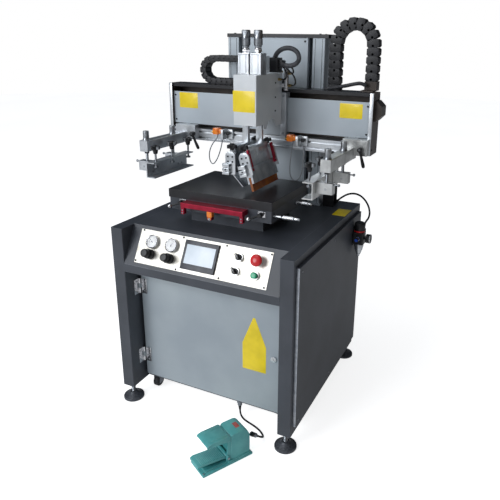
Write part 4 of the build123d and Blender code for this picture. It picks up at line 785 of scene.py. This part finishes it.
# ---- Drag chains ----
# Black glass-filled nylon links, each a frame of two side plates and two crossbars, snapped together so that
# they bend one way only. The tall chain carries the beam's cables, the flat one the carriage's.
chain_nylon = surface("glass_filled_black_nylon", "1c1c20", 0.5, 0, ("151518", "26262b", 11, 0.3, 0.7),
                      (2.5, 0.15, 0.4))


def chain_links(name, stops, thick, wide, across, pitch):
    """Links along a run of points: side plates, crossbars and a narrower neck where the next one hinges."""
    lengths = [(b - a).length for a, b in zip(stops, stops[1:])]
    total = sum(lengths)
    count = round(total / pitch)
    mesh = bmesh.new()

    def spot(run):
        run = min(max(run, 0), total - 1e-6)
        for a, b, length in zip(stops, stops[1:], lengths):
            if run <= length:
                return a.lerp(b, run / length)
            run -= length
        return stops[-1]

    for i in range(count):
        a, b = spot(total * i / count), spot(total * (i + 1) / count)
        along = (b - a).normalized()
        over = along.cross(across).normalized()
        turn = Matrix((along, across, over)).transposed().to_4x4()
        place = Matrix.Translation((a + b) / 2) @ turn
        half = (b - a).length / 2
        t, w = thick / 2, wide / 2
        for side in (-1, 1):
            outline = ((-half * 1.02, -t * 0.72), (-half * 0.7, -t), (half * 0.62, -t),
                       (half * 0.98, -t * 0.78),
                       (half * 0.98, t * 0.78), (half * 0.62, t), (-half * 0.7, t), (-half * 1.02, t * 0.72))
            flank = place @ shift(0, side * (w - 2) + 2, 0) @ Matrix.Rotation(math.radians(90), 4, "X")
            pressed(mesh, flank, outline, 4, 0.6)
            turned(mesh, place @ shift(half * 0.55, side * (w - 0.2), 0) @ Matrix.Rotation(
                math.radians(-90 * side), 4, "X"), ((t * 0.34, 0), (t * 0.34, 0.15), (t * 0.2, 0.2)), 16)
        for level in (-1, 1):
            slab(mesh, (-half * 0.66, half * 0.56), (-w + 3, w - 3),
                 sorted((level * (t - 3.2), level * (t - 0.2))), 0.9, place)
        slab(mesh, (-half * 1.0, half * 1.0), (-w + 4, w - 4), (-t * 0.72, t * 0.72), 1.0, place)
    made = piece(name, mesh, "cabinet", chain_nylon)
    made.parent = None
    del made["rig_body"]
    return made


def half_turn(centre, radius, first, last, x, z, steps=22):
    """Points round an arc, from one angle to another, in the plane of two directions."""
    return [centre + (x * math.cos(math.radians(a)) + z * math.sin(math.radians(a))) * radius
            for a in [first + (last - first) * i / steps for i in range(steps + 1)]]


tall_centre = Vector((325, 272, 1364))
tall_run = [Vector((252, 272, 1213)), *half_turn(tall_centre, 73, 180, 0, right, upward),
            Vector((398, 272, 1231))]
tall = chain_links("tall_drag_chain", tall_run, 45.4, 43.4, back, 30)
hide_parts("vertical_drag_chain")
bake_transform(tall)
flat_centre = Vector((-246, 201, 1255))
flat_run = [Vector((60, 201, 1210)), *half_turn(flat_centre, 45, -90, -270, right, upward),
            Vector((-15.2, 201, 1300))]
flat = chain_links("flat_drag_chain", flat_run, 25.6, 49.4, back, 24)
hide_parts("carriage_drag_chain")
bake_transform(flat)

# Corrugated conduit: grey polypropylene hose, ribs 4 mm apart, from the tall chain's end bracket across the
# beam.
ribbed_conduit = surface("corrugated_polypropylene_conduit", "3a3b3f", 0.42, 0, ("303135", "4a4b50", 12))


def conduit(name, route, radius, body, finish, rib=4.0, depth=1.2):
    """A ribbed hose along a smooth curve."""
    gap_block = line_of(name + "_line", route)
    bpy.context.view_layer.update()
    flat_line = bpy.data.meshes.new_from_object(gap_block.evaluated_get(bpy.context.evaluated_depsgraph_get()))
    stops = [(v.co - home) * 1000 for v in flat_line.vertices]
    bpy.data.objects.remove(gap_block)
    mesh = bmesh.new()
    lengths = [(b - a).length for a, b in zip(stops, stops[1:])]
    total, rings, side = sum(lengths), [], None
    count = int(total / rib * 4)
    for i in range(count + 1):
        want, run = total * i / count, 0.0
        for a, b, length in zip(stops, stops[1:], lengths):
            if want <= run + length or b is stops[-1]:
                centre, heading = a.lerp(b, min(1, max(0, (want - run) / length))), (b - a).normalized()
                break
            run += length
        side = (side or Vector((0.13, 0.98, 0.1))).cross(heading).cross(heading).normalized() * -1
        up = heading.cross(side)
        r = radius - (depth if i % 4 in (0, 1) else 0)
        turns = [math.tau * j / 20 for j in range(20)]
        rings.append([centre + (side * math.cos(turn) + up * math.sin(turn)) * r for turn in turns])
    skin(mesh, rings)
    return piece(name, mesh, body, finish, 50)


conduit("beam_conduit", ((385, 236, 1216), (372, 228, 1226), (345, 215, 1222), (310, 205, 1213),
                         (280, 200, 1208),
                         (256, 202, 1203), (240, 206, 1199)), 7.5, "beam", ribbed_conduit)

# ---- Squeegee carriage ----
# A folded housing sprayed pearl grey on a machined saddle plate. Two square profile cylinders stand on it,
# each with a chromed stroke nut and a knurled stroke screw. A small valve and its fittings are on the right.
pearl_powder = surface("pearl_grey_powder_coat", "d3d7da", 0.34, 0.1, ("cdd2d5", "d9dcdf", 120), orange_peel)
edge_wear(pearl_powder, "f0f2f3", 1.5, 0.4)
wears(pearl_powder, "carriage_box")
saddle_powder = surface("saddle_grey_powder_coat", "a9b0b5", 0.4, 0.15, ("a2a9af", "b2b8bd", 90), orange_peel)
edge_wear(saddle_powder, "d9dde0", 1.5, 0.5)
wears(saddle_powder, "carriage_saddle")
sticker("carriage_sticker", facing((33, -71, 1164), front), 88, 74, "carriage")
box_screws = bmesh.new()
for x, outward in ((82, right), (-9, left)):
    for z in (1120, 1170, 1222):
        cap_screw(box_screws, facing((x, 86, z), outward), 3.4, 2)
piece("carriage_side_screws", box_screws, "carriage", black_oxide)
flat_bar = bmesh.new()
slab(flat_bar, (80, 102), (141, 146), (1017, 1183), 0.8)
piece("carriage_flat_bar", flat_bar, "carriage", anodised)
bar_screws = bmesh.new()
for z in (1030, 1171):
    cap_screw(bar_screws, facing((91, 141, z), front), 5, 3)
piece("carriage_bar_screws", bar_screws, "carriage", zinc)

# Profile cylinders: extruded square tube with two sensor grooves down each face, clear anodised, and pinned
# end caps.
section = []
for quarter in range(4):
    for px, py in (
        (22, -20), (22, -14.5), (20, -14.5), (20, -9.5), (22, -9.5), (22, 9.5), (20, 9.5), (20, 14.5),
        (22, 14.5), (22, 20),
    ):
        for _ in range(quarter):
            px, py = -py, px
        section.append((px, py))
cylinder_middles, cylinder_y = (9, 57), -7
tubes = bmesh.new()
for x in cylinder_middles:
    pressed(tubes, shift(x, cylinder_y, 1256), section, 66)
    slab(tubes, (x - 22, x + 22), (-29, 15), (1322.2, 1327), 1)
    slab(tubes, (x - 22, x + 22), (-29, 15), (1255, 1258), 0.6)
piece("stroke_profile_cylinders", tubes, "carriage", anodised, 25, shows="stroke_cylinders")
stroke_nuts = bmesh.new()
for x in cylinder_middles:
    turned(stroke_nuts, shift(x, cylinder_y, 0), ((11, 1327), (11, 1331), (13.4, 1331.2), (15, 1332.6),
                                                  (15, 1338), (13.4, 1339.6), (11.6, 1339.8), (11.6, 1345)),
           6)
    turned(stroke_nuts, shift(x, cylinder_y, 0), ((12.6, 1339), (12.8, 1341), (12.8, 1343), (12, 1345)), 36)
    for dx, dy in ((-16, -16), (16, -16), (16, 16), (-16, 16)):
        cap_screw(stroke_nuts, shift(x + dx, cylinder_y + dy, 1327), 2.6, 1.6)
piece("stroke_nuts", stroke_nuts, "carriage", nickel)
for side, x in zip(("left", "right"), cylinder_middles):
    screw = bmesh.new()
    turned(screw, shift(x, cylinder_y, 0), (
        (5, 1310), (5, 1345.6), (11, 1345.7), (12, 1347), (12, 1352), (14.8, 1353.5), (15.5, 1355, 0.9),
        (15.5, 1374, 0.9),
        (15.5, 1375.5, 0), (14.7, 1376), (14.7, 1377.5), (15.5, 1378), (15.5, 1379.5, 0.9), (15.5, 1401, 0.9),
        (14.6, 1403.4, 0.4), (13, 1404.9), (6, 1404.9), (5.6, 1403.6),
    ), 60)
    piece(f"stroke_screw_{side}", screw, f"stroke_{side}", turned_steel, 40,
          shows=f"stroke_knob_{side}")

# Valve: a small chromed cylinder with brass elbows and short black tubes, beside the saddle.
valve = bmesh.new()
turned(valve, shift(108, 128, 0), ((8, 1192), (9.5, 1193.5), (9.5, 1200), (8.6, 1201), (8.6, 1262),
                                   (9.5, 1263), (9.5, 1272), (8, 1273.5)), 28)
slab(valve, (82, 100), (122, 134), (1205, 1217), 1.5)
piece("carriage_valve", valve, "carriage", nickel)
fittings = bmesh.new()
for z in (1212, 1256):
    turned(fittings, facing((114, 126, z), right), ((4.5, 0), (4.5, 5), (6, 5.4), (6, 12), (5, 12.4),
                                                    (5, 16)), 6)
for x, y, z in ((84, 118, 1262), (84, 100, 1290), (84, 112, 1234)):
    turned(fittings, facing((x - 2, y, z), right), ((5.5, 0), (5.5, 8), (4.4, 8.6), (4.4, 14)), 6)
piece("carriage_brass_fittings", fittings, "carriage", brass)
block = bmesh.new()
slab(block, (62, 96), (72, 116), (1259.5, 1312), 3)
slab(block, (84, 112), (80, 112), (1276, 1304), 6)
piece("carriage_connector_block", block, "carriage", black_moulding)
for number, route in enumerate((
    ((130, 126, 1212), (142, 124, 1212), (150, 120, 1226), (144, 112, 1250), (126, 104, 1268),
     (108, 100, 1284)),
    ((130, 126, 1256), (140, 122, 1258), (140, 112, 1274), (128, 104, 1284), (110, 100, 1292)),
    ((98, 112, 1234), (112, 108, 1234), (120, 104, 1248), (116, 102, 1266), (106, 100, 1280)),
)):
    tube(f"carriage_air_tube_{number + 1}", route, 6, "carriage", air_tube)
conduit("carriage_conduit", (
    (70, 98, 1304), (82, 88, 1326), (112, 76, 1344), (148, 66, 1348), (180, 60, 1334), (188, 58, 1308),
    (172, 60, 1290), (142, 66, 1284), (112, 82, 1288), (98, 94, 1290),
), 8.5, "carriage", ribbed_conduit)

# ---- Squeegee and flood bar ----
# Each hangs from its own cylinder. Machined aluminium end plates with pinch blocks and black wing knobs hold
# an extruded holder with an amber polyurethane blade, and beside it a thin spring-steel flood blade.
head_middle, head_half = -35.5, 101.5


def tilted(edge_x, edge_z, degrees):
    """The upright place of a tool whose working edge is at (x, z), leaned towards the right."""
    return shift(edge_x, head_middle, edge_z) @ Matrix.Rotation(math.radians(-degrees), 4, "Y")


def wing_knob(mesh, place, radius=20.4, thick=12.6):
    """A moulded three-lobed wing knob with a domed middle."""
    outline = []
    for step in range(48):
        turn = math.tau * step / 48
        reach = radius * (0.76 + 0.22 * math.cos(3 * turn))
        outline.append((reach * math.cos(turn), reach * math.sin(turn)))
    pressed(mesh, place, outline, thick, 2)
    turned(mesh, place, ((9, thick - 1), (8.6, thick + 2), (7.4, thick + 3.6), (3, thick + 4.4)), 28)
    turned(mesh, place, ((7, -6), (7.6, -5), (7.6, 0.5), (9, 1)), 28)


machined = surface("machined_aluminium", "c5c9cd", 0.3, 0.9, ("b6bbc0", "d5d8db", 30),
                   (1.6, 0.06, 0.5, 2, (1, 0.06, 1)))
wears(machined, "squeegee_holder")
# Amber polyurethane: translucent, glossy, darker where it is thick.
polyurethane = surface("cast_amber_polyurethane", "a8560f", 0.2, 0, ("8f430a", "bd6a18", 60),
                       Subsurface_Weight=0.35,
                       Subsurface_Radius=(0.012, 0.005, 0.001), Transmission_Weight=0.12, Coat_Weight=0.3)
wears(polyurethane, "squeegee_blade")
spring_steel = surface("ground_spring_steel", "b9bcc0", 0.22, 1.0, ("a9acb1", "cdd0d3", 24))
wears(spring_steel, "flood_bar")
squeegee_place = tilted(104, 861, 16)
flood_place = shift(16, head_middle, 857)
for name, place, foot_x, neck_x, rod_x in (
    ("squeegee", squeegee_place, (55, 73), (52, 76), 57), ("flood", flood_place, (1, 24), (-4, 20), 9)
):
    ends = bmesh.new()
    knobs = bmesh.new()
    screws = bmesh.new()
    for side in (-1, 1):
        plate = place @ shift(0, side * (head_half + 6) if side < 0 else side * head_half, 0) \
            @ Matrix.Rotation(math.radians(90), 4, "X") @ Matrix.Scale(-1, 4, (0, 0, 1))
        pressed(ends, plate, (
            (-20, 58), (20, 58), (20, 126), (17, 133), (9, 140), (-9, 140), (-17, 133), (-20, 126),
        ), 6, 0.7)
        for low, high in ((58, 68), (71, 82), (85.5, 98)):
            slab(ends, (-26, 2), sorted((side * (head_half + 6), side * (head_half + 20))), (low, high), 1.6,
                 place)
        slab(ends, (-8, 2), sorted((side * (head_half + 6), side * (head_half + 19))), (60, 96), 0.6, place)
        for z in (104, 122):
            for x in (-9, 9):
                cap_screw(screws, place @ facing((x, side * (head_half + 6), z), (0, side, 0)), 3.2, 2.2)
        cap_screw(screws, place @ facing((-12, side * (head_half + 20), 76.5), (0, side, 0)), 3, 1.6)
        stud = place @ shift(0, side * (head_half - 8), 0)
        turned(ends, stud, ((4, 134), (4, 152)), 20)
        wing_knob(knobs, stud @ shift(0, 0, 150))
    slab(ends, foot_x, (-113, 42), (996, 1012), 1.2)
    slab(ends, neck_x, (-14, 0), (1011, 1110), 1)
    turned(ends, shift(rod_x, cylinder_y, 0), ((6.4, 1100), (6.4, 1262)), 24)
    if name == "squeegee":
        slab(ends, (-6, 6), (-77.5, 77.5), (126, 142), 0.8, place)
        slab(ends, (-9, 9), (-20, 20), (118, 142), 1.2, place)
    piece(f"{name}_hanger_machined", ends, name, machined, shows=f"{name}_hanger")
    piece(f"{name}_wing_knobs", knobs, name, black_moulding, 40)
    piece(f"{name}_hanger_screws", screws, name, black_oxide)

# Crimson strips: dyed aluminium angle clamps at each end of the holder.
strips = bmesh.new()
strip_screws = bmesh.new()
for y in (-head_half + 8, head_half - 8):
    slab(strips, (11.6, 18.6), (y - 7.6, y + 7.6), (70.5, 145.6), 1, squeegee_place)
    for z in (82, 134):
        cap_screw(strip_screws, squeegee_place @ facing((18.6, y, z), right), 2.6, 1.2)
piece("holder_crimson_strips", strips, "squeegee", crimson_anodised)
piece("holder_strip_screws", strip_screws, "squeegee", zinc)
# A black block between the two hangers, under the housing.
gap_block = bmesh.new()
slab(gap_block, (14, 50), (-24, 10), (1086, 1108), 2)
slab(gap_block, (24, 41), (-26, 12), (1070, 1090), 2)
piece("hanger_gap_block", gap_block, "carriage", black_moulding)

# ---- Screen arms ----
# Each arm is a square aluminium bar on a bracket that hooks into the rail, with a ratchet lever to lock it.
# Two studs with knurled caps hang a C channel that grips the screen frame with three wing-knobbed screws.
wears(anodised, "left_arm")
# Painted shade: the right bar's clear anodising is drawn a little darker and warmer, for the dim side of the
# room it mirrors.
right_arm_shaded_finish = surface("clear_anodising_painted_shade", "c3c4c4", 0.34, 0.88, ("b3b4b3", "d3d4d3", 45))
wears(right_arm_shaded_finish, "right_arm")
wears(turned_steel, "left_clamp_screws", "right_clamp_screws")
stud_y = (-118, 52)
for side, sign, stud_x, lever_x, lean in (("left", -1, -365, -306, 0.47), ("right", 1, 370, 413, 0.28)):
    body = f"{side}_screen_arm"
    caps = bmesh.new()
    studs = bmesh.new()
    for y in stud_y:
        turned(caps, shift(stud_x, y, 0), (
            (14, 1002), (14, 1003), (11.6, 1007), (11.4, 1008), (11.4, 1020, 0.5), (11.4, 1032, 0.5),
            (10.8, 1034.6),
            (9, 1036.3), (3, 1036.4),
        ), 44)
        turned(studs, shift(stud_x, y, 0), [(5.6 if i % 2 else 5.1, 922 + 1.25 * i) for i in range(25)], 20)
        ball = facing((sign * 396, y, 916), (sign, 0, 0))
        turned(studs, ball, ((2.6, -1), (2.6, 13), (4.6, 14.5), (5.4, 17), (4.6, 20), (2.6, 21.4)), 20)
        for turn in (-1, 1):
            cap_screw(studs, facing((sign * 371, y + 15 * turn, 901), (0, turn, 0)), 4, 0.8)
            cap_screw(studs, facing((sign * 334, y + 12 * turn, 884), (-sign, 0, 0)), 4.2, 1.2)
    piece(f"{side}_arm_knurled_caps", caps, body, turned_steel, 40)
    piece(f"{side}_arm_studs_and_pins", studs, body, zinc)
    jam_nuts = bmesh.new()
    for y in stud_y:
        turned(jam_nuts, shift(stud_x, y, 0), ((8.8, 950.8), (9.8, 952), (9.8, 958), (9.2, 959)), 6)
    piece(f"{side}_arm_jam_nuts", jam_nuts, body, black_oxide)
    wings = bmesh.new()
    for y, spin in ((-134, 0.2), (-28, 0.9), (84, 1.6)):
        knob_at = shift(sign * 313, y, 972.7) @ Matrix.Rotation(spin, 4, "Z")
        wing_knob(wings, knob_at)
        turned(wings, knob_at, ((7.4, -16.8), (8, -15.6), (11.4, -0.4), (11, 0.6)), 28)
    piece(f"{side}_clamp_wing_knobs", wings, f"{side}_screws", black_moulding, 40)
    lever = bmesh.new()
    turned(lever, facing((lever_x, 119.4, 998), front), ((4, -14), (4, 0), (9, 0.4), (9.6, 2), (9.6, 15),
                                                         (8.6, 19.4), (4, 20)), 32)
    drop = Vector((math.sin(lean), 0, -math.cos(lean)))
    turned(lever, facing((lever_x, 106, 998), drop), (
        (5.6, 0), (6, 6), (4.6, 16), (4.8, 26), (6.2, 48), (6.6, 58), (5.6, 65), (3, 68),
    ), 28)
    piece(f"{side}_ratchet_lever", lever, f"{side}_lever", black_moulding, 45,
          shows=f"{side}_arm_lever")
    heart = bmesh.new()
    cap_screw(heart, facing((lever_x, 99.4, 998), front), 3.4, 0.9)
    piece(f"{side}_ratchet_screw", heart, f"{side}_lever", zinc)

# ---- Air unit ----
# A filter regulator on the cabinet's right side, near the back: black moulded body and knob with a red lock
# ring, a round gauge, an anodised metal bowl that narrows to its drain, and a blue-collared push-in fitting.
wears(black_moulding, "air_unit")
air_axis = shift(396, 240, 0)
ribs = bmesh.new()
turned(ribs, air_axis, (
    (20.6, 646.5), (21.4, 648), (21.8, 650, 1.1), (21.8, 672, 1.1), (20.4, 677, 0.5), (17, 679.6), (3, 679.9),
), 52)
turned(ribs, air_axis, ((6, 628), (6, 647)), 20)
piece("air_knob_ribbed", ribs, "air_knob", black_moulding, 40, shows="air_unit_knob")
ring = bmesh.new()
turned(ring, air_axis, ((20, 640.6), (22.2, 641.2), (22.4, 645.6), (20.4, 646.8)), 52)
piece("air_knob_lock_ring", ring, "air_knob", red_cap)
gauge_at = facing((444, 240, 615), right)
gauge = bmesh.new()
turned(gauge, gauge_at, ((18.4, -18), (18.6, -2), (17.8, -0.4), (16.6, -0.4), (16.2, -1.6)), 44)
piece("air_gauge_case", gauge, "cabinet", black_moulding)
gauge_rim = bmesh.new()
turned(gauge_rim, gauge_at, ((18.7, -3.4), (19, -3), (19, -1), (18.2, 0.3), (16.8, 0.4), (16.4, -0.6),
                             (16.4, -2)), 44)
piece("air_gauge_rim", gauge_rim, "cabinet", nickel)
gauge_face = bmesh.new()
turned(gauge_face, gauge_at, ((16.2, -1.4), (16.2, -0.7)), 40)
piece("air_gauge_dial", gauge_face, "cabinet", enamel)
gauge_ink = bmesh.new()
for step in range(11):
    turn = math.radians(225 - 27 * step)
    slab(gauge_ink, (-1.6, 1.6), (-0.3, 0.3), (-0.7, -0.5), 0.05,
         gauge_at @ shift(13 * math.cos(turn), 13 * math.sin(turn), 0) @ Matrix.Rotation(turn, 4, "Z"))
pressed(gauge_ink, gauge_at @ shift(0, 0, -0.6) @ Matrix.Rotation(0.9, 4, "Z"),
        ((-0.9, -5), (0.9, -5), (0.3, 12), (-0.3, 12)), 0.3)
piece("air_gauge_needle_and_marks", gauge_ink, "cabinet", dial_ink)
bowl = bmesh.new()
turned(bowl, air_axis, (
    (4.6, 534), (5.4, 534.6), (5.4, 541), (8.4, 542), (9.6, 548), (11.4, 549), (11.4, 553), (12.6, 554),
    (14.8, 563),
    (16.6, 564), (16.6, 568), (18.4, 577), (19.6, 578), (19.6, 588), (18.8, 589.9),
), 44)
piece("air_filter_bowl", bowl, "cabinet", satin_chrome)
# Push-in fitting: acetal collar, blue for air, over a nickelled body.
blue_collar = surface("blue_release_collar", "2350c8", 0.3, 0, ("1f47b4", "2b5cd6", 8), Coat_Weight=0.2)
blue = bmesh.new()
turned(blue, facing((396, 206, 615), front), ((7.4, -6), (7.6, 0), (7.6, 9), (6.6, 10), (4.4, 10.2)), 28)
turned(blue, facing((396, 217.5, 615), front), ((8.6, 0), (8.8, 1), (8.8, 3.6), (8.6, 4)), 28)
piece("air_inlet_blue_collars", blue, "cabinet", blue_collar)
inlet = bmesh.new()
turned(inlet, facing((396, 218, 615), front), ((9.6, 0), (9.6, 4)), 6)
turned(inlet, facing((396, 213, 615), front), ((8.5, 0), (8.5, 4), (7.8, 5)), 28)
piece("air_inlet_fitting", inlet, "cabinet", nickel)
hose_collars = bmesh.new()
turned(hose_collars, facing((275, 300, 738), (18, 3, 17)), ((7.3, -13), (7.3, -2), (6.6, 1.5), (5, 3),
                                                            (4.4, 3.2)), 28)
turned(hose_collars, shift(404, 281, 640), ((7.3, -4), (7.3, 0), (6.6, 1.6), (4.6, 2.6)), 28)
piece("air_hose_collars", hose_collars, "cabinet", black_moulding)

# ---- Foot pedal ----
# A cast aluminium foot switch sprayed teal: a base with a raised tray, a housing behind and a hood that
# guards the ribbed treadle. A black gland at the back holds the cable, and a blank red label sits on top.
pedal_home = shift(159, -476, 0) @ Matrix.Rotation(math.radians(60.6), 4, "Z")
teal_paint = surface("teal_sprayed_casting", "58b0b2", 0.36, 0, ("4fa5a8", "62bab9", 55), (2, 0.1, 0.4),
                     Coat_Weight=0.1)
edge_wear(teal_paint, "a9dcd9", 2.0, 0.7)
# A profile drawn in X and Z is pushed out along Y: its own Z points along minus Y.
upright = Matrix.Rotation(math.radians(90), 4, "X")
casting = bmesh.new()
slab(casting, (-97.4, 97.4), (-43.9, 43.9), (0.1, 8.6), 2.6, pedal_home)
slab(casting, (-84, 10), (-35, 35), (7, 12.5), 2, pedal_home)
slab(casting, (2, 94), (-41.5, 41.5), (7, 14), 2.5, pedal_home)
pressed(casting, pedal_home @ shift(0, 38, 0) @ upright, (
    (16, 10), (89.4, 10), (89.4, 84), (80, 104), (74, 109), (66, 111.9), (26, 111.9), (17, 109), (16, 104),
), 76, 3)
cheek = (-2, 12), (20, 12), (20, 105), (6, 105), (2, 60)
hood_side = (-75.4, 101), (11.6, 90), (11.6, 108), (7, 111.9), (-58, 111.9), (-72, 108)
for y, outline, thick in ((35.5, cheek, 6.4), (-29.1, cheek, 6.4), (38, hood_side, 4), (-34, hood_side, 4)):
    pressed(casting, pedal_home @ shift(0, y, 0) @ upright, outline, thick, 1)
pressed(casting, pedal_home @ shift(0, 37, 0) @ upright, (
    (-75.4, 104.6), (11.6, 104.6), (11.6, 108.6), (7, 111.9), (-58, 111.9), (-72, 108.8),
), 74, 1)
for y in (-24, 24):
    slab(casting, (-52, 6), (y - 1.4, y + 1.4), (110.5, 113.2), 1, pedal_home)
for outward in (back, front):
    turned(casting, pedal_home @ facing((3.5, 33 * outward.y, 26), outward), ((8, 0), (8, 5.4), (6.6, 6.8)),
           28)
piece("pedal_casting", casting, "cabinet", teal_paint, 40, shows="pedal_base")
tread = bmesh.new()
lean = pedal_home @ shift(3.5, 0, 26) @ Matrix.Rotation(math.radians(6), 4, "Y")
pressed(tread, lean @ shift(0, 29.4, 0) @ upright, (
    (-112, -5), (-104, -1.4), (0, -5), (7, -3), (7, 3), (0, 4.8), (-100, 4.8), (-110, 0.6),
), 58.8, 1)
for step in range(15):
    x = -97 + 5.9 * step
    pressed(tread, lean @ shift(0, 27, 0) @ upright, (
        (x - 1.5, 4), (x + 1.5, 4), (x + 0.7, 6.3), (x - 0.7, 6.3),
    ), 54, 0.3)
turned(tread, lean @ facing((0, 29.4, 0), front), ((7.4, 0), (8, 0.8), (8, 58), (7.4, 58.8)), 28)
piece("pedal_treadle_ribbed", tread, "treadle", teal_paint, 40, shows="pedal_treadle")
pin_ends = bmesh.new()
for side in (-1, 1):
    turned(pin_ends, pedal_home @ facing((3.5, side * 39.6, 26), (0, side, 0)),
           ((4, -2), (4, 1.6), (3.2, 2.4)), 24)
for x, y in ((-90, -36), (-90, 36), (90, -36), (90, 36)):
    cap_screw(pin_ends, pedal_home @ shift(x, y, 8.6 if x < 0 else 13.9), 3.4, 1.4)
piece("pedal_pins_and_screws", pin_ends, "cabinet", zinc)
red_label = surface("red_printed_label", "b5524c", 0.4, 0, ("a84a44", "c05d56", 14))
label = bmesh.new()
slab(label, (48, 64), (-14, 14), (111.8, 112.2), 0.15, pedal_home)
piece("pedal_blank_label", label, "cabinet", red_label)
# Cable strain reliefs: ribbed black rubber sleeves that taper onto the cable at the floor pan and at the
# pedal.
reliefs = bmesh.new()
sleeve = [(6.8 - 0.14 * i - (0.8 if i % 2 else 0), 46 - 1.2 * i) for i in range(20)]
turned(reliefs, shift(105, -248, 0), [(7.4, 50), *sleeve], 28)
away = Vector((13.5, 24, -23)).normalized()
grip_at = facing(Vector((236.5, -373, 45)) - away * 20, away)
turned(reliefs, grip_at, [(8.6, -4), (8.6, 5), (7.4,
                                                5.6),
                          *[(7.2 - 0.13 * i - (0.8 if i % 2 else 0), 6 + 1.25 * i) for i in range(20)]], 28)
piece("cable_strain_reliefs", reliefs, "cabinet", black_moulding)
